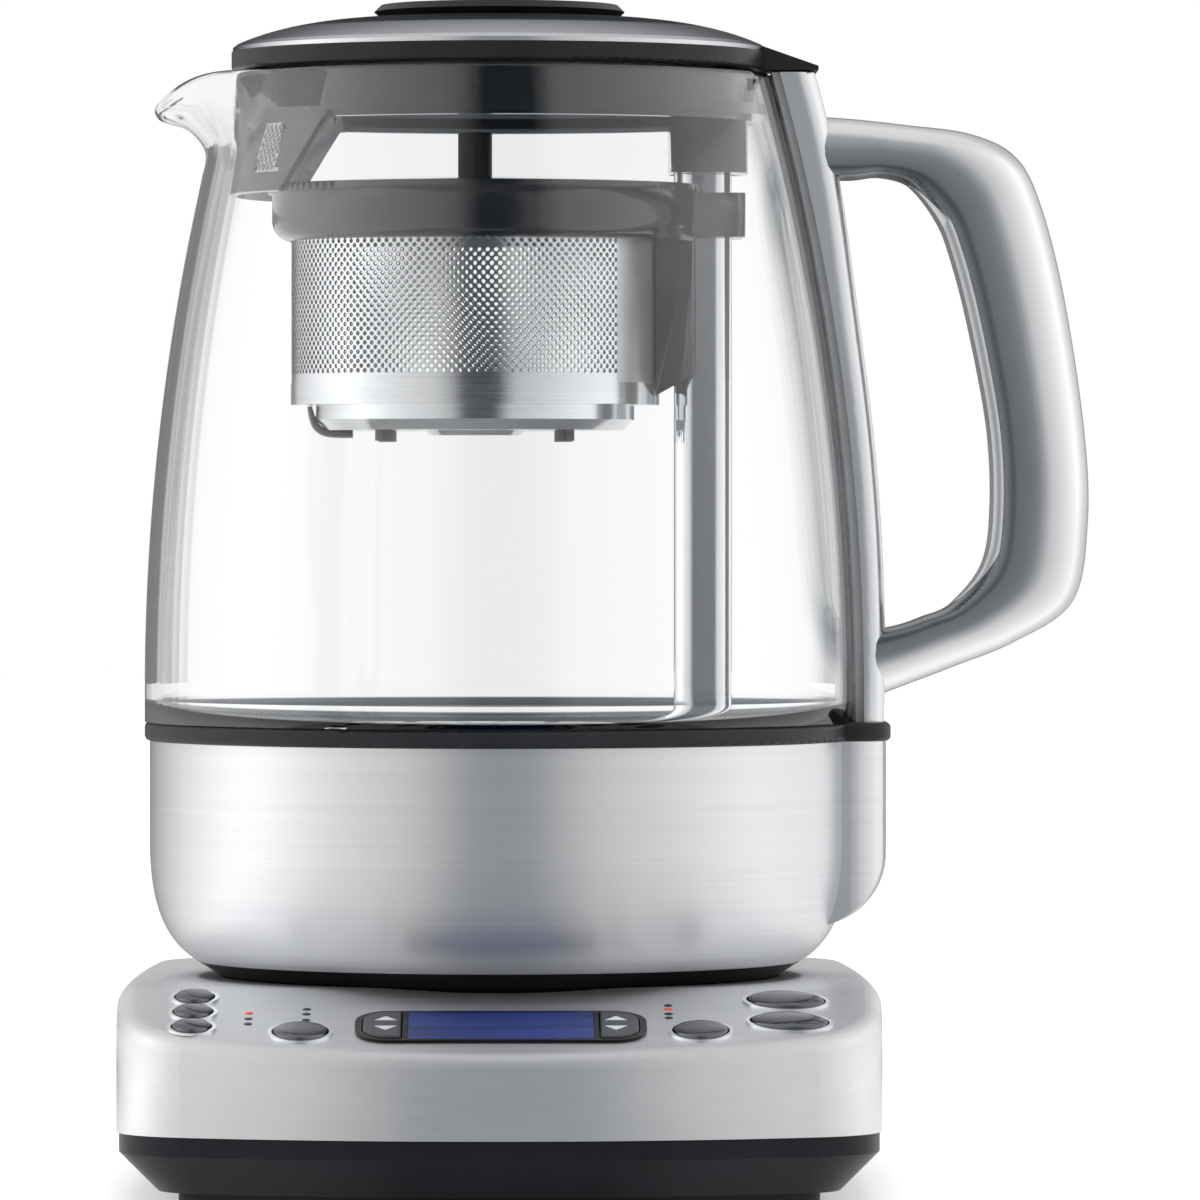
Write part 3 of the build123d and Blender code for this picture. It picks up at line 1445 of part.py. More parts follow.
with BuildPart() as basket_wall:
    with BuildSketch(basket_plane):
        add(profile(
            (inner_radius, basket_z), (basket_radius, basket_z), (basket_radius, flange_z),
            (basket_radius + basket_flange, flange_z), (basket_radius + basket_flange, flange_top_z),
            (inner_radius, flange_top_z),
        ))
    revolve(axis=basket_axis)
    for row in range(perforation_rows):
        pitch_angle = 2 * (180 - perforation_plain) / perforation_columns
        start = perforation_plain + pitch_angle * (0.25 + 0.5 * (row % 2))
        hole_z = basket_z + perforation_low + row * perforation_pitch
        with Locations((basket_x, 0, hole_z)):
            with PolarLocations(basket_radius, perforation_columns, start, 2 * (180 - perforation_plain)):
                Box(4 * basket_wall_thickness, perforation_size, perforation_size,
                    rotation=(45, 0, 0), mode=Mode.SUBTRACT)
finish(basket_wall, "basket_wall")

cup_z = basket_z - basket_base_height - basket_cup_height
with BuildPart() as basket_base:
    wall = basket_wall_thickness
    band_z = basket_z - basket_base_height
    outer_points = [
        (basket_radius + run_gap / 2, basket_z), (basket_radius + run_gap / 2, band_z),
        (basket_cup_radius, band_z), (basket_cup_radius, cup_z + basket_cup_round),
        (basket_cup_radius - basket_cup_round, cup_z), (slot_inner, cup_z),
        (slot_inner - basket_cup_dome, cup_z - basket_cup_dome), (0, cup_z - basket_cup_dome),
    ]
    inner_points = [
        (0, cup_z - basket_cup_dome + wall),
        (slot_inner - basket_cup_dome - wall / 2, cup_z - basket_cup_dome + wall),
        (slot_inner - wall / 2, cup_z + wall),
        (basket_cup_radius - basket_cup_round - wall / 2, cup_z + wall),
        (basket_cup_radius - wall, cup_z + basket_cup_round + wall / 2),
        (basket_cup_radius - wall, band_z + wall),
        (inner_radius, band_z + wall), (inner_radius, basket_z),
    ]
    with BuildSketch(basket_plane):
        add(profile(*outer_points, *inner_points))
    revolve(axis=basket_axis)
    with BuildSketch(Plane.XY.offset(cup_z - basket_cup_dome)):
        with Locations((basket_x, 0)):
            with PolarLocations((slot_inner + slot_outer) / 2, slot_count, 360 / slot_count / 2):
                SlotOverall(slot_outer - slot_inner - slot_width, slot_width)
    extrude(amount=basket_cup_height / 2, mode=Mode.SUBTRACT)
finish(basket_base, "basket_base")

with BuildPart() as basket_feet:
    with BuildSketch(Plane.XY.offset(cup_z)):
        with Locations((basket_x, 0)):
            with PolarLocations(foot_circle, foot_count, 360 / foot_count / 2):
                Circle(foot_radius)
    extrude(amount=-foot_length)
finish(basket_feet, "basket_feet")

with BuildPart() as basket_clip:
    clip_x = basket_x - basket_cup_radius - fit_gap
    with BuildSketch(Plane.XZ):
        add(profile(
            (clip_x, band_z - fit_gap), (clip_x - clip_thickness, band_z - fit_gap),
            (clip_x - clip_thickness, cup_z - clip_thickness),
            (clip_x + clip_drop + clip_thickness, cup_z - clip_thickness),
            (clip_x + clip_drop + clip_thickness, cup_z - fit_gap), (clip_x, cup_z - fit_gap),
        ))
    extrude(amount=clip_half_width, both=True)
finish(basket_clip, "basket_clip")

with BuildPart() as basket_lid:
    lid_low_z = flange_top_z + run_gap
    lid_out = basket_radius + basket_flange - run_gap
    with BuildSketch(basket_plane):
        with BuildLine():
            Polyline((0, lid_low_z + basket_lid_lip + basket_lid_dome - basket_lid_thickness),
                     (0, lid_low_z + basket_lid_lip + basket_lid_dome))
            TangentArc((0, lid_low_z + basket_lid_lip + basket_lid_dome),
                       (lid_out, lid_low_z + basket_lid_lip), tangent=(1, 0))
            Polyline((lid_out, lid_low_z + basket_lid_lip), (lid_out, lid_low_z),
                     (lid_out - basket_lid_thickness, lid_low_z),
                     (lid_out - basket_lid_thickness, lid_low_z + basket_lid_lip - basket_lid_thickness))
            TangentArc((0, lid_low_z + basket_lid_lip + basket_lid_dome - basket_lid_thickness),
                       (lid_out - basket_lid_thickness, lid_low_z + basket_lid_lip - basket_lid_thickness),
                       tangent=(1, 0))
        make_face()
    revolve(axis=basket_axis)
    with BuildSketch(Plane.XY.offset(lid_low_z)):
        with Locations((basket_x, 0)):
            Circle(basket_knob_screw + fit_gap)
    extrude(amount=2 * basket_lid_lip + basket_lid_dome, mode=Mode.SUBTRACT)
finish(basket_lid, "basket_lid")

with BuildPart() as basket_lid_knob:
    knob_foot_z = lid_low_z + basket_lid_lip + basket_lid_dome
    with BuildSketch(Plane.XY.offset(knob_foot_z)):
        with Locations((basket_x, 0)):
            Circle(basket_knob_radius)
    extrude(amount=basket_knob_height)
    fillet(basket_lid_knob.edges().group_by(Axis.Z)[-1], cap_dome)
    with BuildSketch(Plane.XY.offset(knob_foot_z)):
        with Locations((basket_x, 0)):
            Circle(basket_knob_screw)
    extrude(amount=-basket_lid_dome)
finish(basket_lid_knob, "basket_lid_knob")
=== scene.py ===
"""Looks for the automatic tea maker, in metres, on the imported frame."""
import bpy
import bmesh
from math import atan2, cos, pi, radians, sin, sqrt, tan
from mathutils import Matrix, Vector


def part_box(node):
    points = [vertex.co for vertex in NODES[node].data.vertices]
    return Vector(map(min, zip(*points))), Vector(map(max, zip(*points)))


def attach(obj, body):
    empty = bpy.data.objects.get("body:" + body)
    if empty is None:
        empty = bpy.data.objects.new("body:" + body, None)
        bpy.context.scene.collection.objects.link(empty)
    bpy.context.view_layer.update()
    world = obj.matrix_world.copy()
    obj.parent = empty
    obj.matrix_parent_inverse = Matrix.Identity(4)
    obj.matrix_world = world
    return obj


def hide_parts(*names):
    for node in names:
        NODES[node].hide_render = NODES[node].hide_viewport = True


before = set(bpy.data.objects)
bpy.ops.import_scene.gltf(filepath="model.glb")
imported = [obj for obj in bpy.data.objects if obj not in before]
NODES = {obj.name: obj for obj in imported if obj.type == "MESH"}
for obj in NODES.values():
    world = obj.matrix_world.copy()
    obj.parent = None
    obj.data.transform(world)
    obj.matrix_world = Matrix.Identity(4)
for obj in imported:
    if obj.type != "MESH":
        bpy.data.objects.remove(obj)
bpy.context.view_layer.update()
MM = 0.001

# ------------------------------------------------------------------ sizes, in millimetres as in the CAD
SHARP_ANGLE = radians(35)        # edges that bend more stay sharp
MERGE = 0.01                     # points closer than this are one point
SEAL_TOP_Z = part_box("jug_seal_ring")[1].z / MM
RIM_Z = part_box("jug_glass")[1].z / MM

# glass
GLASS_RADIUS = 84.4
GLASS_WALL = 3.0
GLASS_STRAIGHT = 6.5             # height of the upright foot
GLASS_LEVELS = 24                # from the foot to the start of the spout
GLASS_TURNS = 192
LEAST_TURN = 0.006               # smallest angle between two sections, in radians
RIM_RADIUS = 64.4
RIM_ROUND = GLASS_WALL / 2
RIM_STEPS = 6
SPOUT_HALF_ANGLE = radians(29)
SPOUT_TURNS = 24                 # extra sections on each side of the spout's middle
SPOUT_LEVELS = 28
SPOUT_START_Z = 238.0
# middle line of the spout: distance from the axis, height
SPOUT_LINE = [
    (70.65, 238.0), (69.9, 241.2), (70.0, 243.8), (71.6, 246.6),
    (74.6, 249.2), (78.2, 250.3), (80.8, 251.3), (81.8, 252.7),
]

# basket
BASKET_X = -5.8
BASKET_RADIUS = 43.7
BASKET_WALL = 0.6
BASKET_COLUMNS = 136             # pitches all round, with holes or without
FLANGE_DROP = 0.5                # from the basket's top to the middle of the flange's sheet
FLANGE_ROUND = 1.0
BAND_HEIGHT = 4.0                # plain band above the holes
HOLE_PITCH = 2.02
HOLE_ROW = 1.083
HOLE_RADIUS = 0.6
PERFORATED_COLUMNS = 106
PERFORATED_ROWS = 30
PERFORATED_Z = 190.2
# middle line of the latching tongue: x, height
TONGUE_LINE = [
    (-45.2, 183.2), (-44.6, 180.6), (-43.4, 178.2), (-41.2, 176.9), (-38.0, 176.6), (-34.9, 176.6),
]
TONGUE_HALF_WIDTH = 3.0
TONGUE_HALF_THICK = (0.6175, 0.95)   # at its root, and from there on
TONGUE_SPANS = 24
TONGUE_ROOT_SPANS = 8
TONGUE_POINTS = 16

# boxes cut out of the CAD's collar and carriage
COLLAR_CUT = ((-90, -70, 200), (-30, 70, 250.1))
CARRIAGE_HEIGHT = 13.3
PLATE_HALF_WIDTH = 11.5
PLATE_CUT_X = (30, 60)
PLATE_CUT_Y = 60
PLATE_CUT_BELOW = 5

# spout filter: angles in degrees off the spout, pairs are at its low and high edge
FILTER_Z = (233.2, 250.8)
FILTER_RADII = (64.0, 61.0)
FILTER_EDGE_ANGLES = (40.0, 46.5)
FILTER_PLAIN_ANGLE = 38.0        # beyond it the sides lean in
FILTER_THICK = 1.6
FILTER_WINDOW_Z = 237.6
FILTER_WINDOW_PITCH = 31.5
FILTER_LEAN = 5.0                # the outer windows lean by this over the flap's height
FILTER_UPRIGHT_ANGLE = 10.0      # up to here the middle window stands upright
FILTER_PITCH = 1.9
FILTER_COLUMNS = 5
FILTER_ROWS = 12
FILTER_HOLE = 0.66
FILTER_PLAIN_SPANS = 6           # faces across each plain strip

# handle and grip
HANDLE_HALF_WIDTH = 10.5
HANDLE_WIDEST = -0.25            # where the section is widest: -1 inside edge, 1 outside edge
HANDLE_FULLNESS = (0.9, 0.5)     # of the section's outer and inner part: 1 is an ellipse, less is fuller
HANDLE_SPANS = 90
HANDLE_POINTS = 32
# stations round the handle: outer x, outer height, inner x, inner height above the seal ring
HANDLE_STATIONS = [
    (74.5, 143.9, 76.5, 128.7), (84.0, 143.3, 84.0, 128.7), (96.8, 141.9, 90.6, 129.3),
    (112.0, 139.8, 97.8, 127.0), (122.6, 134.6, 104.2, 119.3), (128.6, 123.8, 107.6, 111.0),
    (134.4, 101.4, 111.8, 95.0), (139.3, 69.3, 116.5, 70.0), (140.15, 47.0, 117.3, 50.0),
    (136.6, 28.5, 115.1, 37.1), (123.0, 19.0, 107.5, 28.0), (108.0, 12.9, 100.6, 24.9),
    (96.8, 8.6, 94.9, 22.9), (87.4, 5.0, 87.4, 21.4),
]
GRIP_START = 0.225               # ends of the strip as shares of the handle's path
GRIP_END = 0.77
GRIP_HALF_WIDTH = 9.7
GRIP_END_WIDTH = 0.45            # share of the width and of the depth left at the tapered ends
GRIP_END_DEPTH = 0.25
GRIP_RISE = 0.3
GRIP_DEPTH = 4.6
GRIP_FULLNESS = (0.5, 0.7)       # of its depth and of its width
GRIP_GROOVE = 0.15
GRIP_GROOVE_POINTS = (2, 4, 24, 26)
GRIP_SPANS = 160
GRIP_TAPER_SPANS = 16
GRIP_TAPER_POWER = 0.6
GRIP_POINTS = 28

# control panel
PANEL_SLOPE = radians(14)
PANEL_LINE = Vector((0, -68.0, 36.0 + (110.0 - 68.0) * tan(PANEL_SLOPE)))
PANEL_UP = Vector((0, -sin(PANEL_SLOPE), cos(PANEL_SLOPE)))
PANEL_REAR = Vector((0, cos(PANEL_SLOPE), sin(PANEL_SLOPE)))
DISPLAY_MIDDLE = (0.3, -25.1)
SCREEN = (42.4, 20.4)
SCREEN_RISE = 0.86
SCREEN_FOOT = -0.5
SCREEN_BEVEL = (0.15, 0.1)       # inset and height
ROCKER_TOP = 1.3
ARROW_X = 26.3
ARROW_Y = 3.7
ARROW_WIDTH = 5.0
ARROW_HEIGHT = 3.0
ARROW_RISE = (-0.1, 0.12)
# controls on the panel: place from the panel's line, half length, half width, turn in degrees
BUTTONS = {
    "button_auto_start": (-70.3, -2.0, 4.5, 4.5, 0), "button_keep_warm": (-70.3, -13.5, 4.5, 4.5, 0),
    "button_basket": (-70.3, -25.0, 4.5, 4.5, 0), "button_tea_type": (-45.4, -28.9, 6.3, 6.3, 0),
    "button_strength": (45.9, -28.1, 6.3, 6.3, 0), "button_hot_water": (66.0, -5.0, 8.95, 5.8, -10),
    "button_start": (66.3, -21.4, 8.95, 5.8, -12),
}
CAP_POINTS = 48
# outlines of caps and lenses: share of the radius, height
CAP_PROFILE = [
    (1.0, -1.5), (1.0, 0.45), (0.985, 0.8), (0.94, 1.1), (0.82, 1.42), (0.6, 1.72), (0.34, 1.9), (0.1, 1.97),
]
LAMP_PROFILE = [(1.0, -0.4), (1.0, 0.06), (0.8, 0.16), (0.5, 0.25), (0.15, 0.28)]
LAMP_RADIUS = 1.0
LAMP_POINTS = 16
TEA_TYPE_LAMPS = [
    (-57.5, -13.2), (-57.5, -17.5), (-57.5, -21.5), (-44.3, -10.2), (-44.3, -13.9), (-44.3, -18.5),
]
STRENGTH_LAMPS = [(38.8, -10.3), (38.8, -7.4), (38.8, -13.9), (38.8, -17.0)]

# lid
LID_EDGE_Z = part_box("lid_rim")[1].z / MM
LID_TOP_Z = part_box("lid_dome")[1].z / MM


# ------------------------------------------------------------------ materials
FINE_LINES, BROAD_LINES = 1500, 260      # scales of the noise along brushed lines
BROAD_SHARE = 0.4
UPRIGHT_SMEAR = (1, 1, 0.4)
GLASS_TINT = (0.47, 0.51, 0.53, 1)
LOW_SHINE = {"Specular_IOR_Level": 0.22}
HIGH_SHINE = {"Specular_IOR_Level": 0.9}


def new_material(name, color, metallic=0.0, roughness=0.5, **sockets):
    """Principled material with plain values; returns it with its tree and shader."""
    mat = bpy.data.materials.new(name)
    mat.use_nodes = True
    tree = mat.node_tree
    shader = tree.nodes["Principled BSDF"]
    shader.inputs["Base Color"].default_value = (*color, 1)
    shader.inputs["Metallic"].default_value = metallic
    shader.inputs["Roughness"].default_value = roughness
    for key, value in sockets.items():
        shader.inputs[key.replace("_", " ")].default_value = value
    return mat, tree, shader


def add_node(tree, kind, inputs=None, **settings):
    """New node with its settings, and its inputs set to values or linked to sockets."""
    node = tree.nodes.new(kind)
    for key, value in settings.items():
        setattr(node, key, value)
    for key, value in (inputs or {}).items():
        if isinstance(value, bpy.types.NodeSocket):
            tree.links.new(value, node.inputs[key])
        else:
            node.inputs[key].default_value = value
    return node


def noise(tree, scale, detail=2.0, stretch=(1, 1, 1), rough=0.5):
    """Noise from 0 to 1 on object coordinates (metres), stretched by the given factors."""
    coord = add_node(tree, "ShaderNodeTexCoord")
    mapping = add_node(tree, "ShaderNodeMapping", {"Vector": coord.outputs["Object"], "Scale": stretch})
    texture = add_node(tree, "ShaderNodeTexNoise", {
        "Vector": mapping.outputs[0], "Scale": scale, "Detail": detail, "Roughness": rough})
    return texture.outputs["Fac"]


def ramp(tree, source, stops):
    """Colour ramp from (place, grey or colour) stops."""
    node = add_node(tree, "ShaderNodeValToRGB", {"Fac": source})
    elements = node.color_ramp.elements
    while len(elements) < len(stops):
        elements.new(0.5)
    for element, (place, value) in zip(elements, stops):
        element.position = place
        element.color = (value, value, value, 1) if isinstance(value, float) else (*value, 1)
    return node.outputs["Color"]


def color_mix(tree, share, first, second, blend="MIX"):
    """Colour between two: at 0 the first, at 1 the second or what the blend makes of both."""
    mix = add_node(tree, "ShaderNodeMix", {0: share, 6: first, 7: second},
                   data_type="RGBA", blend_type=blend)
    return mix.outputs[2]


def vary(tree, shader, socket, source, low, high, start=0.3, end=0.7):
    """Lets a shader's socket go from low to high while the source goes from start to end."""
    tree.links.new(ramp(tree, source, [(start, low), (end, high)]), shader.inputs[socket])


def bump(tree, shader, height, strength, distance=0.0001):
    """Relief on the shader from a height socket; distance in metres."""
    node = add_node(tree, "ShaderNodeBump", {"Height": height, "Strength": strength, "Distance": distance})
    tree.links.new(node.outputs[0], shader.inputs["Normal"])


def stretched_shine(tree, shader, axis, turn=0.25):
    """Highlights drawn out across brushed lines that run round an axis."""
    shader.inputs["Anisotropic"].default_value = 0.8
    shader.inputs["Anisotropic Rotation"].default_value = turn
    tangent = add_node(tree, "ShaderNodeTangent", direction_type="RADIAL", axis=axis)
    tree.links.new(tangent.outputs[0], shader.inputs["Tangent"])


def brushed(name, light, dark, roughness, lines, grain=1.0):
    """Brushed metal: fine lines across which the colour, roughness and relief change."""
    mat, tree, shader = new_material(name, light, 1.0, roughness)
    fine = noise(tree, FINE_LINES, 4, lines, 0.65)
    broad = noise(tree, BROAD_LINES, 3, lines, 0.55)
    streaks = color_mix(tree, BROAD_SHARE, fine, broad)
    vary(tree, shader, "Base Color", streaks, dark, light)
    vary(tree, shader, "Roughness", fine, roughness - 0.03, roughness + 0.05)
    bump(tree, shader, streaks, 0.05 * grain)
    return mat, tree, shader


def smooth_metal(name, color, roughness, cloud=0.03, scale=30):
    """Polished or satin metal: plain colour, faintly clouded gloss."""
    mat, tree, shader = new_material(name, color, 1.0, roughness)
    smear = noise(tree, scale, 3, UPRIGHT_SMEAR)
    shade = tuple(0.94 * part for part in color)
    vary(tree, shader, "Roughness", smear, max(0.02, roughness - cloud), roughness + cloud)
    vary(tree, shader, "Base Color", smear, shade, color, 0.25, 0.75)
    return mat


def moulded(name, dark, light, roughness, grain=0.15, **sockets):
    """Moulded plastic or rubber: fine texture, faint clouding of its colour and gloss."""
    mat, tree, shader = new_material(name, light, 0.0, roughness, **sockets)
    cloud = noise(tree, 60, 3)
    vary(tree, shader, "Base Color", cloud, dark, light, 0.3, 0.75)
    vary(tree, shader, "Roughness", cloud, roughness - 0.04, roughness + 0.05)
    bump(tree, shader, noise(tree, 900, 3), grain)
    return mat


def glassy(name, color, absorb, roughness=0.0):
    """Clear material; with absorb it darkens with the length of the way through it."""
    mat, tree, shader = new_material(name, color, 0.0, roughness, IOR=1.47, Transmission_Weight=1.0)
    bump(tree, shader, noise(tree, 18, 1), 0.02, 0.0004)
    if absorb:
        volume = add_node(tree, "ShaderNodeVolumeAbsorption", {"Color": GLASS_TINT, "Density": absorb})
        tree.links.new(volume.outputs[0], tree.nodes["Material Output"].inputs["Volume"])
    return mat


def round_steel():
    """Brushed steel of the jug's shell, with lines round its upright axis."""
    mat, tree, shader = brushed("steel_round", (0.77, 0.78, 0.795), (0.67, 0.68, 0.695), 0.40,
                                (0.010, 0.010, 2.2))
    stretched_shine(tree, shader, "Z")
    return mat


def flat_steel():
    """Brushed steel of the base, with lines from side to side."""
    mat, tree, shader = brushed("steel_flat", (0.78, 0.79, 0.805), (0.70, 0.71, 0.725), 0.38,
                                (0.010, 0.9, 0.9), 0.4)
    stretched_shine(tree, shader, "X", 0.0)
    return mat


STEEL_RING = round_steel()
STEEL_FLAT = flat_steel()
STEEL_BRIGHT = brushed("steel_bright", (0.80, 0.81, 0.82), (0.68, 0.69, 0.70), 0.15,
                       (0.02, 0.02, 1.6), 0.5)[0]
BAND_STEEL = brushed("steel_band", (0.84, 0.85, 0.86), (0.76, 0.77, 0.78), 0.34, (0.02, 0.02, 1.6), 0.5)[0]
SATIN = smooth_metal("satin_metal", (0.74, 0.75, 0.765), 0.22)
GRIP = smooth_metal("grip_strip", (0.74, 0.75, 0.76), 0.28)
POLISHED = smooth_metal("polished_steel", (0.82, 0.83, 0.84), 0.06)
CHROME = smooth_metal("chrome_trim", (0.86, 0.87, 0.88), 0.07, 0.02, 200)
BUTTON = smooth_metal("button_cap", (0.15, 0.155, 0.165), 0.12, 0.03, 300)
DARK_METAL = smooth_metal("dark_metal", (0.30, 0.29, 0.29), 0.4, 0.05, 300)
BRASS = brushed("brass_rod", (0.72, 0.58, 0.30), (0.6, 0.47, 0.22), 0.25, (0.5, 0.5, 2.0))[0]
BLACK_MATT = moulded("black_matt", (0.006, 0.0075, 0.0105), (0.010, 0.0125, 0.017), 0.38, 0.12, **LOW_SHINE)
BLACK_GLOSS = moulded("black_gloss", (0.006, 0.006, 0.007), (0.010, 0.010, 0.012), 0.2, 0.02, **LOW_SHINE)
LID_BLACK = moulded("lid_black", (0.012, 0.013, 0.015), (0.018, 0.019, 0.022), 0.36, 0.05, **LOW_SHINE)
SEAL_GREY = moulded("seal_grey", (0.016, 0.018, 0.021), (0.024, 0.027, 0.031), 0.42, 0.08, **LOW_SHINE)
ROCKER_GREY = moulded("rocker_grey", (0.045, 0.048, 0.053), (0.07, 0.074, 0.08), 0.32, 0.08)
CLIP_GREY = moulded("clip_grey", (0.07, 0.075, 0.083), (0.10, 0.107, 0.116), 0.25, 0.03)
CARRIER_GREY = moulded("carrier_grey", (0.014, 0.0175, 0.0225), (0.019, 0.0235, 0.030), 0.16, 0.01,
                       **HIGH_SHINE)
RUBBER = moulded("rubber_black", (0.010, 0.010, 0.011), (0.018, 0.018, 0.020), 0.7, 0.3)
GASKET = moulded("gasket_grey", (0.46, 0.47, 0.485), (0.54, 0.55, 0.565), 0.35, 0.05)
SILICONE = moulded("silicone", (0.20, 0.21, 0.22), (0.30, 0.31, 0.32), 0.5, 0.1)
BOARD = moulded("board_green", (0.02, 0.12, 0.06), (0.03, 0.18, 0.09), 0.4, 0.1)
NYLON = moulded("nylon_white", (0.66, 0.66, 0.62), (0.78, 0.78, 0.75), 0.5, 0.1)
LED_DARK = moulded("lamp_dark", (0.010, 0.012, 0.018), (0.02, 0.024, 0.034), 0.15, 0.02)
ARROW_WHITE = moulded("arrow_white", (0.62, 0.64, 0.66), (0.74, 0.76, 0.78), 0.4, 0.05)
FILTER_MESH = moulded("filter_mesh", (0.70, 0.71, 0.72), (0.80, 0.81, 0.82), 0.4, 0.05)
FLOOR_SATIN = moulded("floor_satin", (0.66, 0.67, 0.68), (0.74, 0.75, 0.76), 0.7, 0.05,
                      Specular_IOR_Level=0.1)
GLASS = glassy("jug_clear_glass", (0.985, 0.99, 0.995), 8.0)
WINDOW = glassy("window_clear", (0.93, 0.95, 0.98), 0.0, 0.02)


def smoky_plastic():
    """Grey see-through plastic: part of the light is scattered, part passes through."""
    dark, light = (0.076, 0.088, 0.102), (0.094, 0.108, 0.124)
    mat, tree, shader = new_material("smoky_plastic", light, 0.0, 0.08, IOR=1.6, Transmission_Weight=0.75)
    cloud = noise(tree, 40, 2)
    vary(tree, shader, "Base Color", cloud, dark, light)
    bump(tree, shader, cloud, 0.02, 0.0003)
    return mat


def lit(name, dark, light, roughness, strength, scale, stretch=(1, 1, 1)):
    """Glowing part whose colour clouds a little between two shades."""
    mat, tree, shader = new_material(name, light, 0.0, roughness, Emission_Strength=strength)
    cloud = noise(tree, scale, 1, stretch)
    for socket in ("Base Color", "Emission Color"):
        vary(tree, shader, socket, cloud, dark, light)
    return mat


def handle_painted_shade():
    """Satin cast metal with painted shade and painted highlight bands that go with the place across it: 0
    outer edge, 1 inner edge.
    """
    mat, tree, shader = new_material("handle_metal", (0.64, 0.65, 0.665), 1.0, 0.2)
    painted_shade_place = add_node(tree, "ShaderNodeAttribute", attribute_name="painted_shade_place")
    cloud = noise(tree, 30, 3, UPRIGHT_SMEAR)
    # painted shade and painted highlight across the handle: dark outer edge, bright band, then darker towards
    # the inner edge, with a dark line near it
    shade = ramp(tree, painted_shade_place.outputs["Fac"], [
        (0.0, (0.34, 0.35, 0.37)), (0.05, (0.52, 0.53, 0.55)), (0.13, (0.80, 0.81, 0.82)),
        (0.40, (0.70, 0.71, 0.725)), (0.54, (0.45, 0.465, 0.485)), (0.76, (0.33, 0.345, 0.365)),
        (0.81, (0.15, 0.16, 0.175)), (1.0, (0.25, 0.26, 0.275))])
    tree.links.new(color_mix(tree, 0.12, shade, cloud, "OVERLAY"), shader.inputs["Base Color"])
    vary(tree, shader, "Roughness", cloud, 0.17, 0.24)
    return mat


def lid_steel():
    """Brushed dome with a bright band at its edge that is a painted highlight, darker towards the top: partly
    its dark finish, partly painted shade under the knob.
    """
    mat, tree, shader = new_material("lid_steel", (0.3, 0.3, 0.3), 1.0, 0.24,
                                     Specular_Tint=(0.22, 0.23, 0.245, 1))
    stretched_shine(tree, shader, "Z")
    coord = add_node(tree, "ShaderNodeTexCoord")
    split = add_node(tree, "ShaderNodeSeparateXYZ", {0: coord.outputs["Object"]})
    rise = add_node(tree, "ShaderNodeMapRange", {
        "Value": split.outputs["Z"], "From Min": LID_EDGE_Z * MM, "From Max": LID_TOP_Z * MM})
    # painted highlight in a band at the dome's edge; darker above, partly the dome's dark finish, partly
    # painted shade under the knob
    edge_highlight_and_top_shade = ramp(tree, rise.outputs[0], [
        (0.0, (0.62, 0.63, 0.645)), (0.15, (0.56, 0.57, 0.58)), (0.26, (0.13, 0.137, 0.145)),
        (0.6, (0.08, 0.085, 0.09)), (1.0, (0.05, 0.053, 0.057))])
    lines = noise(tree, 900, 3, (0.4, 0.4, 3.0))
    tree.links.new(color_mix(tree, 0.08, edge_highlight_and_top_shade, lines, "OVERLAY"), shader.inputs["Base Color"])
    vary(tree, shader, "Roughness", lines, 0.23, 0.25)
    return mat


HANDLE_METAL = handle_painted_shade()
LID_STEEL = lid_steel()
SMOKY = smoky_plastic()
LCD = lit("display_blue", (0.007, 0.017, 0.10), (0.015, 0.034, 0.19), 0.25, 0.15, 40, (1, 6, 6))
LED_RED = lit("lamp_red", (0.40, 0.02, 0.015), (0.60, 0.05, 0.03), 0.2, 0.6, 400)

looks = {
    STEEL_FLAT: ["base_cover"],
    BLACK_MATT: ["base_tray", "jug_connector", "drive_bracket", "tact_switches",
                 "basket_clip", "basket_lid_knob", "lift_motor"],
    LID_BLACK: ["lid_knob", "lid_rim"],
    RUBBER: ["base_foot", "cord_gland"],
    DARK_METAL: ["base_screws", "heating_element", "handle_screws", "knob_screw", "temperature_sensor",
                 "carrier_magnets"],
    BLACK_GLOSS: ["base_connector", "display_bezel", "jug_bottom_cover"],
    BOARD: ["power_board", "control_board"],
    CHROME: ["button_bezels"],
    WINDOW: ["lcd_window"],
    LCD: ["lcd_module"],
    LED_DARK: ["tea_type_leds", "strength_leds"],
    STEEL_RING: ["jug_shell"],
    FLOOR_SATIN: ["heater_plate"],
    SEAL_GREY: ["jug_seal_ring", "drive_magnet"],
    ROCKER_GREY: ["rocker_left", "rocker_right"],
    CARRIER_GREY: ["basket_carrier"],
    CLIP_GREY: ["basket_feet"],
    GLASS: ["jug_glass"],
    SATIN: ["handle_spine", "handle_shell"],
    GASKET: ["spine_gasket"],
    SILICONE: ["lid_seal"],
    GRIP: ["handle_grip"],
    SMOKY: ["mouth_collar", "spout_filter", "lid_skirt", "collar_gasket"],
    POLISHED: ["lift_post", "basket_lid"],
    LID_STEEL: ["lid_dome"],
    STEEL_BRIGHT: ["basket_wall", "basket_base"],
    BRASS: ["lead_screw"],
    NYLON: ["motor_pinion"],
    BUTTON: [name for name in NODES if name.startswith("button_") and name != "button_bezels"],
}
for material, names in looks.items():
    for name in names:
        NODES[name].data.materials.clear()
        NODES[name].data.materials.append(material)


# ------------------------------------------------------------------ mesh helpers
def add_object(name, data):
    """New object in the scene."""
    thing = bpy.data.objects.new(name, data)
    bpy.context.scene.collection.objects.link(thing)
    return thing


def apply_modifiers(piece):
    """Gives a piece its modified mesh and takes the modifiers off."""
    evaluated = piece.evaluated_get(bpy.context.evaluated_depsgraph_get())
    mesh = bpy.data.meshes.new_from_object(evaluated)
    piece.modifiers.clear()
    piece.data = mesh


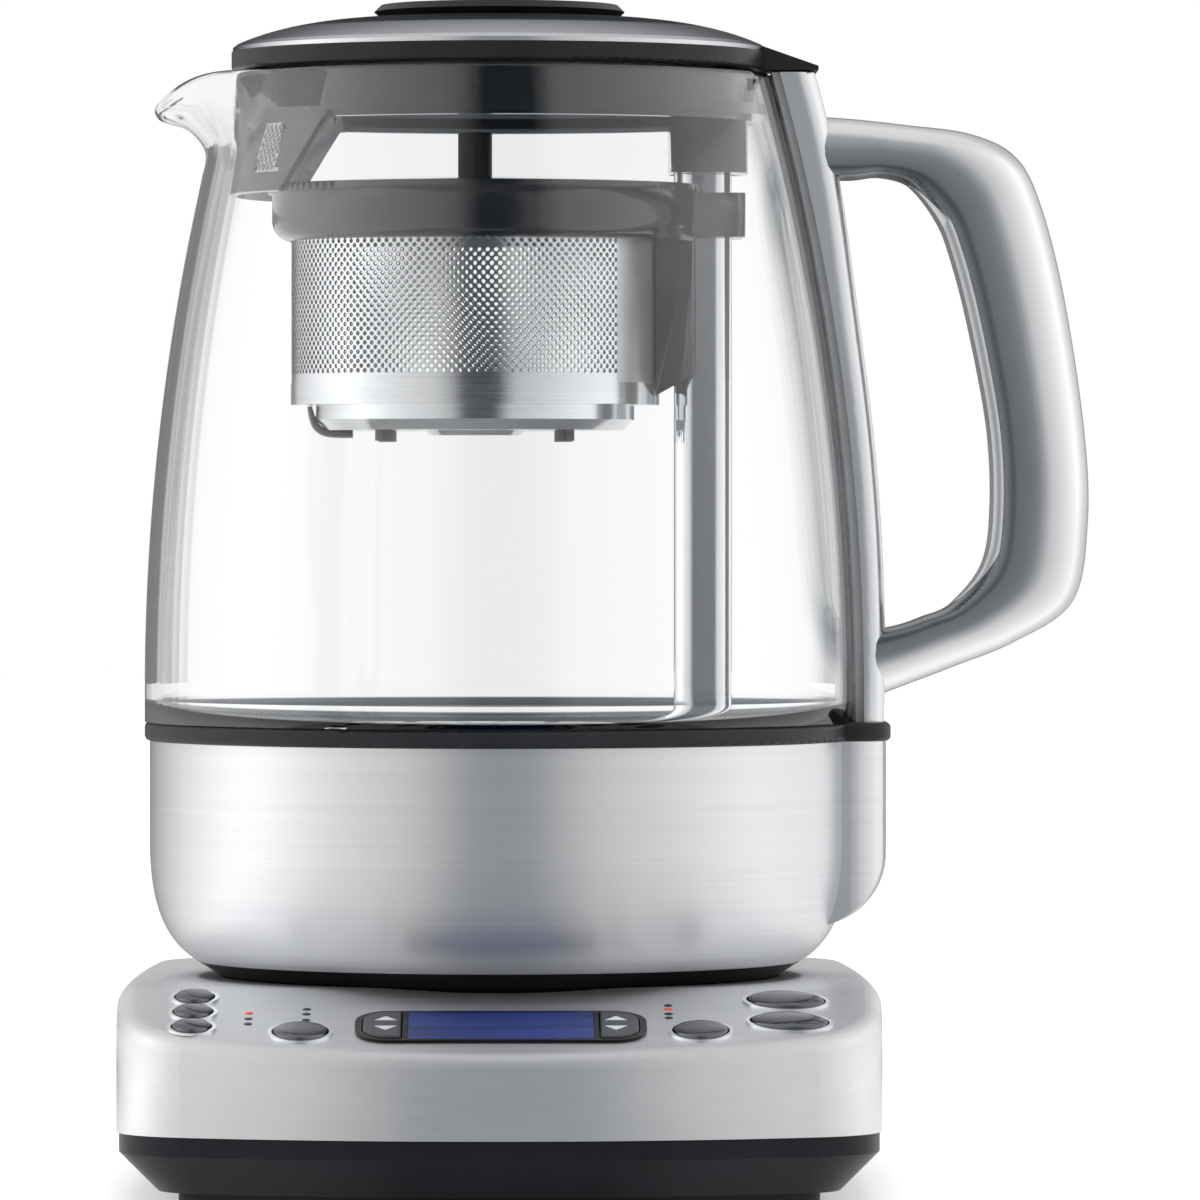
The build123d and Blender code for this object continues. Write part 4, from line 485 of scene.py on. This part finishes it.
def add_piece(name, points, faces, material, body, replaces=(), smooth=True, merge=0.0):
    """Object from points in millimetres, riding on a body, with its finish and what it stands for."""
    mesh = bpy.data.meshes.new(name)
    mesh.from_pydata([Vector(point) * MM for point in points], [], faces)
    cleaner = bmesh.new()
    cleaner.from_mesh(mesh)
    if merge:
        bmesh.ops.remove_doubles(cleaner, verts=cleaner.verts, dist=merge * MM)
    bmesh.ops.recalc_face_normals(cleaner, faces=cleaner.faces)
    for face in cleaner.faces:
        face.smooth = smooth
    cleaner.to_mesh(mesh)
    cleaner.free()
    mesh.materials.append(material)
    piece = add_object(name, mesh)
    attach(piece, body)
    if replaces:
        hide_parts(*replaces)
    return piece


def loft(rings, closed=True, caps=False):
    """Points and faces of a skin over rings with as many points each; closed joins last to first."""
    size = len(rings[0])
    points = [point for ring in rings for point in ring]
    faces = []
    for at in range(len(rings) if closed else len(rings) - 1):
        here, there = at * size, (at + 1) % len(rings) * size
        for k in range(size):
            turn = (k + 1) % size
            faces.append((here + k, here + turn, there + turn, there + k))
    if caps:
        faces += [tuple(range(size)), tuple(range(len(points) - size, len(points)))]
    return points, faces


def smooth_line(points, count):
    """count + 1 points on a smooth curve through the given points (Catmull-Rom)."""
    padded = [[2 * a - b for a, b in zip(points[0], points[1])], *points,
              [2 * a - b for a, b in zip(points[-1], points[-2])]]
    line = []
    for step in range(count + 1):
        place = step / count * (len(points) - 1)
        span = min(int(place), len(points) - 2)
        t = place - span
        p0, p1, p2, p3 = padded[span:span + 4]
        line.append(tuple(
            0.5 * (2 * b + (c - a) * t
                   + (2 * a - 5 * b + 4 * c - d) * t ** 2 + (3 * b - a - 3 * c + d) * t ** 3)
            for a, b, c, d in zip(p0, p1, p2, p3)))
    return line


def fuller(value, power):
    """A sine or cosine with its sign, raised to a power below 1 to fill out a section's corners."""
    return abs(value) ** power * (1 if value > 0 else -1)


# ------------------------------------------------------------------ glass jug with its poured lip
def body_radius(z):
    """Outer radius of the glass body at a height: an upright foot, then one long arc."""
    rise = RIM_Z - SEAL_TOP_Z - GLASS_STRAIGHT
    taper = GLASS_RADIUS - RIM_RADIUS
    arc = (rise ** 2 + taper ** 2) / (2 * taper)
    along = max(0.0, z - SEAL_TOP_Z - GLASS_STRAIGHT)
    return GLASS_RADIUS - arc + sqrt(arc ** 2 - along ** 2)


def glass_profile(azimuth):
    """Outer line of the glass at an azimuth, from the foot to the rim: (radius, height)."""
    off_spout = abs(azimuth - pi)
    share = cos(pi / 2 * min(1.0, off_spout / SPOUT_HALF_ANGLE)) ** 2
    foot = [(body_radius(z), z) for z in
            [SEAL_TOP_Z + (SPOUT_START_Z - SEAL_TOP_Z) * step / GLASS_LEVELS for step in range(GLASS_LEVELS)]]
    top_z = RIM_Z - RIM_ROUND
    line = smooth_line(SPOUT_LINE, SPOUT_LEVELS)
    top = []
    for step, (spout_r, spout_z) in enumerate(line):
        z = SPOUT_START_Z + (top_z - SPOUT_START_Z) * step / (len(line) - 1)
        radius = body_radius(z)
        top.append((radius + (spout_r - radius) * share, z + (spout_z - z) * share ** 3))
    return foot + top


def glass_ring(azimuth):
    """Closed section of the glass wall at an azimuth: outside up, round the rim, inside down."""
    outer = glass_profile(azimuth)
    inner = []
    for at, (radius, z) in enumerate(outer):
        r0, z0 = outer[max(0, at - 1)]
        r1, z1 = outer[min(len(outer) - 1, at + 1)]
        along = Vector((r1 - r0, z1 - z0)).normalized()
        inner.append((radius - along.y * GLASS_WALL, z + along.x * GLASS_WALL))
    inner[0] = (outer[0][0] - GLASS_WALL, outer[0][1])
    (r_out, z_out), (r_in, z_in) = outer[-1], inner[-1]
    middle = Vector(((r_out + r_in) / 2, (z_out + z_in) / 2))
    half = Vector((r_out - r_in, z_out - z_in)) / 2
    beyond = Vector((-half.y, half.x))
    rim = [middle + half * cos(pi * step / RIM_STEPS) + beyond * sin(pi * step / RIM_STEPS)
           for step in range(1, RIM_STEPS)]
    section = outer + [tuple(point) for point in rim] + inner[::-1]
    return [(radius * cos(azimuth), radius * sin(azimuth), z) for radius, z in section]


def jug_glass():
    """Blown body: sections are closer together round the spout."""
    turns = [2 * pi * step / GLASS_TURNS for step in range(GLASS_TURNS)]
    turns += [pi + SPOUT_HALF_ANGLE * step / SPOUT_TURNS for step in range(-SPOUT_TURNS, SPOUT_TURNS + 1)]
    turns = sorted({round(turn, 5) for turn in turns})
    kept = [turns[0]]
    for turn in turns[1:]:
        if turn - kept[-1] > LEAST_TURN:
            kept.append(turn)
    points, faces = loft([glass_ring(turn) for turn in kept])
    add_piece("jug_body_glass", points, faces, GLASS, "jug", ["jug_glass"])


# ------------------------------------------------------------------ perforated sheets
def perforated(columns, rows, pitch, row_height, hole, place):
    """Sheet with staggered round holes; place maps flat (u, v) to a point. Points and faces."""
    index, points, faces = {}, [], []
    du, dv = pitch / 2, row_height
    width, height = 2 * columns * du, rows * dv

    def at(u, v):
        key = (round(u, 4), round(v, 4))
        if key not in index:
            index[key] = len(points)
            points.append(place(u, v))
        return index[key]

    for a in range(2 * columns + 1):
        for b in range(rows + 1):
            if (a + b) % 2:
                continue
            u, v = a * du, b * dv
            corners = [(u + du, v), (u, v + dv), (u - du, v), (u, v - dv)]
            inside = [c for c in corners
                      if -MERGE < c[0] < width + MERGE and -MERGE < c[1] < height + MERGE]
            if len(inside) < 4:
                filler = inside if len(inside) == 3 else [(u, v), *inside]
                faces.append(tuple(at(*corner) for corner in filler))
                continue
            ring = [at(u + hole * cos(pi * k / 4), v + hole * sin(pi * k / 4)) for k in range(8)]
            for k in range(4):
                near, far = at(*corners[k]), at(*corners[(k + 1) % 4])
                first, middle, last = ring[2 * k], ring[2 * k + 1], ring[(2 * k + 2) % 8]
                faces += [(near, middle, first), (near, far, middle), (far, last, middle)]
    return points, faces


def grid(us, vs, place):
    """Plain sheet over the given u and v stations. Points and faces."""
    points = [place(u, v) for u in us for v in vs]
    rows = len(vs)
    faces = [(a * rows + b, (a + 1) * rows + b, (a + 1) * rows + b + 1, a * rows + b + 1)
             for a in range(len(us) - 1) for b in range(rows - 1)]
    return points, faces


def joined(*meshes):
    """Several (points, faces) as one."""
    points, faces = [], []
    for more_points, more_faces in meshes:
        start = len(points)
        points += more_points
        faces += [tuple(start + k for k in face) for face in more_faces]
    return points, faces


def thicken(piece, thickness, offset=-1.0):
    """Gives a sheet its thickness in millimetres; offset -1 is inwards, 0 to both sides."""
    solid = piece.modifiers.new("thickness", "SOLIDIFY")
    solid.thickness = thickness * MM
    solid.offset = offset
    apply_modifiers(piece)
    piece.data.set_sharp_from_angle(angle=SHARP_ANGLE)


def edge_stations(count, step):
    """Stations along a perforated sheet's edge: its ends and every odd half pitch."""
    return [0.0] + [k * step for k in range(1, count, 2)] + [count * step]


def basket_wall():
    """Tea basket's wall: fine round holes all round, except beside the post, and its top flange."""
    plain_turn = pi * (BASKET_COLUMNS - PERFORATED_COLUMNS) / BASKET_COLUMNS
    low_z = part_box("basket_wall")[0].z / MM
    flange_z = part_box("basket_wall")[1].z / MM - FLANGE_DROP
    holes_top = PERFORATED_Z + PERFORATED_ROWS * HOLE_ROW
    full = BASKET_COLUMNS * HOLE_PITCH
    flange_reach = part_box("basket_wall")[1].x / MM - BASKET_X
    sheet = BASKET_RADIUS - BASKET_WALL / 2

    def place(u, v, radius=sheet):
        turn = plain_turn + 2 * pi * u / full
        return (BASKET_X + radius * cos(turn), radius * sin(turn), v)

    def on_wall(u, v):
        return place(u, PERFORATED_Z + v)

    holes = perforated(PERFORATED_COLUMNS, PERFORATED_ROWS, HOLE_PITCH, HOLE_ROW, HOLE_RADIUS, on_wall)
    along = edge_stations(2 * PERFORATED_COLUMNS, HOLE_PITCH / 2)
    rest = [along[-1] + HOLE_PITCH * k for k in range(BASKET_COLUMNS - PERFORATED_COLUMNS + 1)]
    up = [PERFORATED_Z + v for v in edge_stations(PERFORATED_ROWS, HOLE_ROW)]
    around = along + rest[1:]
    low = grid(around, [low_z, PERFORATED_Z], place)
    high = grid(around, [holes_top, holes_top + BAND_HEIGHT, flange_z - FLANGE_ROUND, flange_z], place)
    plain = grid(rest, up, place)
    flange = grid(around, [sheet, flange_reach], lambda u, radius: place(u, flange_z, radius))
    points, faces = joined(holes, low, high, plain, flange)
    piece = add_piece("basket_mesh_wall", points, faces, STEEL_BRIGHT, "basket",
                      ["basket_wall"], merge=MERGE)
    thicken(piece, BASKET_WALL, 0.0)
    piece.data.materials.append(BAND_STEEL)
    band_x = (BASKET_X + BASKET_RADIUS * cos(plain_turn)) * MM
    for face in piece.data.polygons:
        if face.center.x > band_x:
            face.material_index = 1


def tongue():
    """Curved tongue that latches the basket's swing-out bottom."""
    line = smooth_line(TONGUE_LINE, TONGUE_SPANS)
    root, full = TONGUE_HALF_THICK
    rings = []
    for at, (x, z) in enumerate(line):
        x0, z0 = line[max(0, at - 1)]
        x1, z1 = line[min(len(line) - 1, at + 1)]
        normal = Vector((-(z1 - z0), 0, x1 - x0)).normalized()
        half_thick = root + (full - root) * min(1.0, at / TONGUE_ROOT_SPANS)
        ring = []
        for k in range(TONGUE_POINTS):
            turn = 2 * pi * k / TONGUE_POINTS
            across = Vector((0, TONGUE_HALF_WIDTH * sin(turn), 0))
            ring.append(Vector((x, 0, z)) + normal * half_thick * cos(turn) + across)
        rings.append(ring)
    points, faces = loft(rings, closed=False, caps=True)
    add_piece("basket_tongue", points, faces, CLIP_GREY, "basket", ["basket_clip"])


# ------------------------------------------------------------------ collar, spout filter and carriage
def box_mesh(low, high):
    """Closed box from its low to its high corner, in millimetres."""
    (x0, y0, z0), (x1, y1, z1) = low, high
    points = [Vector((x, y, z)) * MM for x in (x0, x1) for y in (y0, y1) for z in (z0, z1)]
    mesh = bpy.data.meshes.new("block")
    mesh.from_pydata(points, [], [
        (0, 1, 3, 2), (4, 6, 7, 5), (0, 4, 5, 1), (2, 3, 7, 6), (0, 2, 6, 4), (1, 5, 7, 3)])
    return mesh


def trimmed(node, name, blocks, body):
    """Copy of a CAD node's shape with boxes cut away, each given by its low and high corner."""
    piece = add_object(name, NODES[node].data.copy())
    piece.matrix_world = NODES[node].matrix_world
    for low, high in blocks:
        cutter = add_object("block", box_mesh(low, high))
        cut = piece.modifiers.new("cut", "BOOLEAN")
        cut.operation = "DIFFERENCE"
        cut.object = cutter
        apply_modifiers(piece)
        bpy.data.objects.remove(cutter)
    piece.data.set_sharp_from_angle(angle=SHARP_ANGLE)
    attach(piece, body)
    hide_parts(node)


def collar():
    """The mouth collar without its hanging flap, which the finer spout filter takes the place of."""
    trimmed("mouth_collar", "collar_ring", [COLLAR_CUT], "jug")


def carriage():
    """The ring and guide as in the CAD, with a narrower back plate between the basket and the post."""
    low, high = [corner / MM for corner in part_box("basket_carrier")]
    bottom, top = low.z - PLATE_CUT_BELOW, high.z - CARRIAGE_HEIGHT
    x0, x1 = PLATE_CUT_X
    trimmed("basket_carrier", "basket_carriage", [
        ((x0, -PLATE_CUT_Y, bottom), (x1, -PLATE_HALF_WIDTH, top)),
        ((x0, PLATE_HALF_WIDTH, bottom), (x1, PLATE_CUT_Y, top))], "carriage")


def on_flap(angle, z):
    """Point on the spout filter's flap, from its angle off the spout in degrees and its height."""
    share = (z - FILTER_Z[0]) / (FILTER_Z[1] - FILTER_Z[0])
    edge = FILTER_EDGE_ANGLES[0] + (FILTER_EDGE_ANGLES[1] - FILTER_EDGE_ANGLES[0]) * share
    radius = FILTER_RADII[0] + (FILTER_RADII[1] - FILTER_RADII[0]) * share
    side = 1 if angle > 0 else -1
    lean = FILTER_LEAN * (share - 0.5) * side if abs(angle) > FILTER_UPRIGHT_ANGLE else 0
    beyond = abs(angle) - FILTER_PLAIN_ANGLE
    if beyond > 0:
        stretch = (edge - FILTER_PLAIN_ANGLE) / (FILTER_EDGE_ANGLES[1] - FILTER_PLAIN_ANGLE)
        angle = (FILTER_PLAIN_ANGLE + beyond * stretch) * side
    turn = pi + radians(angle + lean)
    return (radius * cos(turn), radius * sin(turn), z)


def plain_strip(start, end):
    """Angles across a strip without holes, both ends included."""
    return [start + (end - start) * k / FILTER_PLAIN_SPANS for k in range(FILTER_PLAIN_SPANS + 1)]


def spout_filter():
    """Curved flap behind the spout, its sides leaning in, with three windows of fine holes."""
    step = FILTER_PITCH / 2
    per_mm = 180 / pi / FILTER_RADII[0]
    width = FILTER_COLUMNS * FILTER_PITCH * per_mm
    bottom = FILTER_WINDOW_Z
    edge = FILTER_EDGE_ANGLES[1]
    sheets, around, last, windows = [], [], -edge, []
    levels = [bottom + up for up in edge_stations(FILTER_ROWS, step)]
    for middle in (-FILTER_WINDOW_PITCH, 0, FILTER_WINDOW_PITCH):
        start = middle - width / 2

        def in_window(u, v, start=start):
            return on_flap(start + u * per_mm, bottom + v)

        sheets.append(perforated(FILTER_COLUMNS, FILTER_ROWS, FILTER_PITCH, step, FILTER_HOLE, in_window))
        windows.append((radians(start), radians(start + width)))
        plain = plain_strip(last, start)
        sheets.append(grid(plain, levels, on_flap))
        around += plain + [start + at * per_mm for at in edge_stations(2 * FILTER_COLUMNS, step)][1:-1]
        last = start + width
    plain = plain_strip(last, edge)
    sheets.append(grid(plain, levels, on_flap))
    around += plain
    for low, high in ((FILTER_Z[0], bottom), (levels[-1], FILTER_Z[1])):
        sheets.append(grid(around, [low, high], on_flap))
    points, faces = joined(*sheets)
    piece = add_piece("filter_flap", points, faces, SMOKY, "jug", ["spout_filter"],
                      merge=MERGE)
    thicken(piece, FILTER_THICK)
    piece.data.materials.append(FILTER_MESH)
    for face in piece.data.polygons:
        off_spout = atan2(-face.center.y, -face.center.x)
        inside = any(start < off_spout < end for start, end in windows)
        if inside and bottom < face.center.z / MM < levels[-1]:
            face.material_index = 1


# ------------------------------------------------------------------ handle
def handle_section(station):
    """Middle of the handle at a station of its path, and the way from there to its outer edge."""
    outer_x, outer_z, inner_x, inner_z = station
    outer = Vector((outer_x, 0, SEAL_TOP_Z + outer_z))
    inner = Vector((inner_x, 0, SEAL_TOP_Z + inner_z))
    return (outer + inner) / 2, (outer - inner) / 2


def handle():
    """One sweep from the top of the spine round to its foot, crowned on both sides."""
    rings, painted_shade_place = [], []
    for station in smooth_line(HANDLE_STATIONS, HANDLE_SPANS):
        middle, half = handle_section(station)
        ring = []
        for k in range(HANDLE_POINTS):
            turn = 2 * pi * k / HANDLE_POINTS
            outside = cos(turn) > 0
            fullness = HANDLE_FULLNESS[0] if outside else HANDLE_FULLNESS[1]
            reach = 1 - HANDLE_WIDEST if outside else 1 + HANDLE_WIDEST
            along = HANDLE_WIDEST + reach * fuller(cos(turn), fullness)
            across = HANDLE_HALF_WIDTH * fuller(sin(turn), fullness)
            ring.append(middle + half * along + Vector((0, across, 0)))
            painted_shade_place.append((1 - along) / 2)
        rings.append(ring)
    points, faces = loft(rings, closed=False, caps=True)
    piece = add_piece("handle_metal", points, faces, HANDLE_METAL, "jug", ["handle_shell"])
    # place across the section, 0 outer edge to 1 inner edge, on which the handle's material paints its shade
    # and highlight
    shade = piece.data.attributes.new("painted_shade_place", "FLOAT", "POINT")
    shade.data.foreach_set("value", painted_shade_place)


def grip():
    """Strip let into the inside of the handle, with fine grooves and tapered ends."""
    path = smooth_line(HANDLE_STATIONS, GRIP_SPANS)
    first, last = int(GRIP_START * len(path)), int(GRIP_END * len(path))
    rings = []
    for at in range(first, last + 1):
        middle, half = handle_section(path[at])
        inward = -half.normalized()
        edge = middle - half
        from_end = min(at - first, last - at)
        taper = min(1.0, from_end / GRIP_TAPER_SPANS) ** GRIP_TAPER_POWER
        half_width = GRIP_HALF_WIDTH * (GRIP_END_WIDTH + (1 - GRIP_END_WIDTH) * taper)
        rise, depth = GRIP_RISE * taper, GRIP_DEPTH * (GRIP_END_DEPTH + (1 - GRIP_END_DEPTH) * taper)
        ring = []
        for k in range(GRIP_POINTS):
            turn = 2 * pi * k / GRIP_POINTS
            across = half_width * fuller(sin(turn), GRIP_FULLNESS[1])
            lift = (rise if cos(turn) > 0 else depth) * fuller(cos(turn), GRIP_FULLNESS[0])
            lift -= GRIP_GROOVE * (k in GRIP_GROOVE_POINTS)
            ring.append(edge + inward * lift + Vector((0, across, 0)))
        rings.append(ring)
    points, faces = loft(rings, closed=False, caps=True)
    add_piece("handle_grip_strip", points, faces, GRIP, "jug", ["handle_grip"])


# ------------------------------------------------------------------ control panel
def on_panel(x, y, up=0.0):
    """Point on the sloped panel, from its place on the panel, in millimetres."""
    return PANEL_LINE + Vector((x, 0, 0)) + PANEL_REAR * y + PANEL_UP * up


def arrow(name, body, x, y, way):
    """Small raised triangle on a rocker that points to the rear (1) or the front (-1)."""
    half_width, ahead = ARROW_WIDTH / 2, way * ARROW_HEIGHT / 2
    outline = [(x, y + ahead), (x - half_width, y - ahead), (x + half_width, y - ahead)]
    points = [on_panel(px, py, ROCKER_TOP + rise) for rise in ARROW_RISE for px, py in outline]
    faces = [(0, 1, 2), (3, 4, 5), (0, 1, 4, 3), (1, 2, 5, 4), (2, 0, 3, 5)]
    add_piece(name, points, faces, ARROW_WHITE, body, smooth=False)


def arrows():
    """An up and a down arrow on each rocker."""
    x, y = DISPLAY_MIDDLE
    for side, body in ((-1, "rocker_left"), (1, "rocker_right")):
        for way, word in ((1, "up"), (-1, "down")):
            arrow(f"{body}_{word}", body, x + side * ARROW_X, y + way * ARROW_Y, way)


def dome_rings(x, y, half_long, half_wide, turn, profile, count):
    """Rings of an oval dome on the panel: profile gives share of the outline and height."""
    spin = radians(turn)
    rings = []
    for share, up in profile:
        ring = []
        for k in range(count):
            angle = 2 * pi * k / count
            px, py = half_long * share * cos(angle), half_wide * share * sin(angle)
            ring.append(on_panel(x + px * cos(spin) - py * sin(spin),
                                 y + px * sin(spin) + py * cos(spin), up))
        rings.append(ring)
    return rings


def buttons():
    """Polished domed caps in their chrome rings."""
    for name, (x, y, half_long, half_wide, turn) in BUTTONS.items():
        rings = dome_rings(x, y, half_long, half_wide, turn, CAP_PROFILE, CAP_POINTS)
        points, faces = loft(rings, closed=False, caps=True)
        add_piece(name.replace("button", "cap"), points, faces, BUTTON, name, [name])


def lamps(name, node, places):
    """Row of small round lenses; the first of the places is lit."""
    parts = [loft(dome_rings(x, y, LAMP_RADIUS, LAMP_RADIUS, 0, LAMP_PROFILE, LAMP_POINTS),
                  closed=False, caps=True) for x, y in places]
    points, faces = joined(*parts)
    piece = add_piece(name, points, faces, LED_DARK, "power_base", [node])
    piece.data.materials.append(LED_RED)
    for face in piece.data.polygons[:len(parts[0][1])]:
        face.material_index = 1


def screen():
    """Blue display that fills its frame between the rockers."""
    x, y = DISPLAY_MIDDLE
    half_x, half_y = SCREEN[0] / 2, SCREEN[1] / 2
    bevel_in, bevel_up = SCREEN_BEVEL
    rings = []
    for inset, up in ((0.0, SCREEN_FOOT), (0.0, SCREEN_RISE - bevel_up), (bevel_in, SCREEN_RISE)):
        rings.append([on_panel(x + sx * (half_x - inset), y + sy * (half_y - inset), up)
                      for sx, sy in ((-1, -1), (1, -1), (1, 1), (-1, 1))])
    points, faces = loft(rings, closed=False, caps=True)
    add_piece("display_screen", points, faces, LCD, "power_base", ["lcd_window"],
              smooth=False)


jug_glass()
basket_wall()
tongue()
collar()
spout_filter()
carriage()
handle()
grip()
arrows()
buttons()
lamps("tea_type_lamps", "tea_type_leds", TEA_TYPE_LAMPS)
lamps("strength_lamps", "strength_leds", STRENGTH_LAMPS)
screen()

# ------------------------------------------------------------------ stage, light and camera
# studio brightness by azimuth: 0 at the camera's side, 0.25 left, 0.5 behind, 0.75 right
LEFT_SIDE = [(0.046, 0.58), (0.073, 0.80), (0.111, 0.92), (0.15, 1.07), (0.182, 1.24), (0.215, 1.50),
             (0.25, 1.64), (0.285, 1.44), (0.32, 1.22)]
RIGHT_SIDE = [(0.69, 1.20), (0.748, 1.32), (0.808, 1.12), (0.86, 0.96), (0.905, 0.83), (0.93, 0.74)]
BEHIND = [(0.363, 0.92), (0.40, 0.66), (0.43, 0.44), (0.46, 0.27), (0.50, 0.15), (0.54, 0.30),
          (0.57, 0.64), (0.60, 1.02), (0.64, 1.18)]
# dark strip at the camera's side with its left and right edge, for soft reflections and for sharp ones
STRIP, STRIP_EDGES = (0.38, 0.395, 0.41), (0.030, 0.032)
SHARP_STRIP, SHARP_STRIP_EDGES = (0.05, 0.058, 0.066), (0.020, 0.040)
SIDE_CARD = (0.10, 0.112, 0.124, 1)
WHITE = (1, 1, 1, 1)
STUDIO_TOP = (0.86, 0.86, 0.86, 1)
TOP_FROM, TOP_TO = 0.62, 0.90    # height of the direction over which the studio turns into its top
TOP_LEAN = 0.4                   # how far the top comes down behind the object
BEHIND_WHITE = (1.08, 1.08, 1.08, 1)
FLOOR_COLOR = (0.86, 0.86, 0.86)
FLOOR_HALF = 6                   # metres
FLOOR_GLOW = 0.42
FLOOR_MIRROR = 0.92
CAMERA_PLACE = (0, -2.2, 0.1615)
CAMERA_DOWN, CAMERA_RIGHT = 0.6325, 0.6232       # degrees
CAMERA_LENS, CAMERA_SENSOR = 277.2, 36.0


def azimuth_share(tree, vector):
    """0 towards the camera's side (-Y), 0.25 left (-X), 0.5 behind, 0.75 right, 1 camera's side again."""
    split = add_node(tree, "ShaderNodeSeparateXYZ", {0: vector})
    turn = add_node(tree, "ShaderNodeMath", {0: split.outputs["X"], 1: split.outputs["Y"]},
                    operation="ARCTAN2")
    share = add_node(tree, "ShaderNodeMapRange", {
        "Value": turn.outputs[0], "From Min": -pi, "From Max": pi, "To Min": 0.0, "To Max": 1.0})
    return share.outputs[0], split


def around_light(tree, share, strip, edges):
    """Brightness of the studio round the object: a dark strip in front, bright sides, dark behind."""
    start = [(0.0, strip), (edges[0], strip)]
    end = [(1 - edges[1], strip), (1.0, strip)]
    return ramp(tree, share, start + LEFT_SIDE + BEHIND + RIGHT_SIDE + end)


def sharp_light(tree, share):
    """The same studio, with its dark strip as dark as clear glass mirrors it."""
    return around_light(tree, share, SHARP_STRIP, SHARP_STRIP_EDGES)


def reflected_light(tree, share, path):
    """What the object mirrors of the studio: the sharp strip in clear glass, the soft one elsewhere."""
    return color_mix(tree, path.outputs["Is Singular Ray"], around_light(tree, share, STRIP, STRIP_EDGES),
                     sharp_light(tree, share))


def through_light(tree, share, straight):
    """What shows through glass: white straight behind the object, dark cards beside that, then the studio."""
    card_share = ramp(tree, straight, [(0.0, 0.0), (0.84, 0.0), (0.91, 1.0)])
    white_share = ramp(tree, straight, [(0.984, 0.0), (0.9925, 1.0)])
    cards = color_mix(tree, card_share, sharp_light(tree, share), SIDE_CARD)
    return color_mix(tree, white_share, cards, WHITE)


def lay_floor():
    """Pale floor: white to the camera and through the glass, the studio's shades in reflections."""
    mesh = bpy.data.meshes.new("floor")
    corners = [(FLOOR_HALF * x, FLOOR_HALF * y, 0) for x, y in ((-1, -1), (1, -1), (1, 1), (-1, 1))]
    mesh.from_pydata(corners, [], [(0, 1, 2, 3)])
    add_object("floor", mesh)
    mat, tree, shader = new_material("floor_white", FLOOR_COLOR, 0.0, 0.7, Specular_IOR_Level=0.1)
    path = add_node(tree, "ShaderNodeLightPath")
    coord = add_node(tree, "ShaderNodeTexCoord")
    share, split = azimuth_share(tree, coord.outputs["Object"])
    seen = add_node(tree, "ShaderNodeMath", {
        0: path.outputs["Is Camera Ray"], 1: path.outputs["Is Transmission Ray"]}, operation="MAXIMUM")
    glow = add_node(tree, "ShaderNodeEmission", {"Color": WHITE, "Strength": FLOOR_GLOW})
    lit_floor = add_node(tree, "ShaderNodeAddShader", {0: shader.outputs[0], 1: glow.outputs[0]})
    behind = add_node(tree, "ShaderNodeMath", {
        0: ramp(tree, share, [(0.0, 0.0), (0.36, 0.0), (0.42, 1.0), (0.58, 1.0), (0.64, 0.0), (1.0, 0.0)]),
        1: path.outputs["Is Transmission Ray"]}, operation="MULTIPLY")
    shown = color_mix(tree, behind.outputs[0], reflected_light(tree, share, path), BEHIND_WHITE)
    mirror = add_node(tree, "ShaderNodeEmission", {"Color": shown, "Strength": FLOOR_MIRROR})
    direct = add_node(tree, "ShaderNodeMixShader", {
        0: seen.outputs[0], 1: shader.outputs[0], 2: lit_floor.outputs[0]})
    both = add_node(tree, "ShaderNodeMixShader", {
        0: path.outputs["Is Glossy Ray"], 1: direct.outputs[0], 2: mirror.outputs[0]})
    tree.links.new(both.outputs[0], tree.nodes["Material Output"].inputs["Surface"])
    mesh.materials.append(mat)


def paint_world():
    """Soft studio: shaded by direction for reflections, white to the camera, side cards for the glass."""
    world = bpy.data.worlds.new("studio")
    bpy.context.scene.world = world
    world.use_nodes = True
    tree = world.node_tree
    background = tree.nodes["Background"]
    background.inputs["Strength"].default_value = 1.0
    coord = add_node(tree, "ShaderNodeTexCoord")
    share, split = azimuth_share(tree, coord.outputs["Generated"])
    lean = add_node(tree, "ShaderNodeMath", {
        0: split.outputs["Y"], 1: TOP_LEAN, 2: split.outputs["Z"]}, operation="MULTIPLY_ADD")
    height = add_node(tree, "ShaderNodeMapRange", {
        "Value": lean.outputs[0], "From Min": TOP_FROM, "From Max": TOP_TO})
    path = add_node(tree, "ShaderNodeLightPath")
    shaded = color_mix(tree, height.outputs[0], reflected_light(tree, share, path), STUDIO_TOP)
    through = through_light(tree, share, split.outputs["Y"])
    glass = color_mix(tree, path.outputs["Is Transmission Ray"], shaded, through)
    tree.links.new(color_mix(tree, path.outputs["Is Camera Ray"], glass, WHITE), background.inputs["Color"])


def softbox(name, place, target, size, power):
    """Rectangular area light that isn't mirrored itself; metres and watts."""
    light = bpy.data.lights.new(name, "AREA")
    light.shape = "RECTANGLE"
    light.size, light.size_y = size
    light.energy = power
    lamp = add_object(name, light)
    lamp.location = place
    lamp.rotation_euler = (Vector(target) - Vector(place)).to_track_quat("-Z", "Y").to_euler()
    lamp.visible_glossy = False


lay_floor()
paint_world()
softbox("light_top", (0.0, -0.2, 1.8), (0, 0, 0.1), (1.6, 1.2), 10)

camera_data = bpy.data.cameras.new("camera")
camera_data.lens = CAMERA_LENS
camera_data.sensor_width = CAMERA_SENSOR
camera_data.clip_end = 50
camera = add_object("camera", camera_data)
camera.location = CAMERA_PLACE
camera.rotation_euler = (radians(90 - CAMERA_DOWN), 0, radians(-CAMERA_RIGHT))
bpy.context.scene.camera = camera
bpy.context.scene.view_settings.view_transform = "Standard"
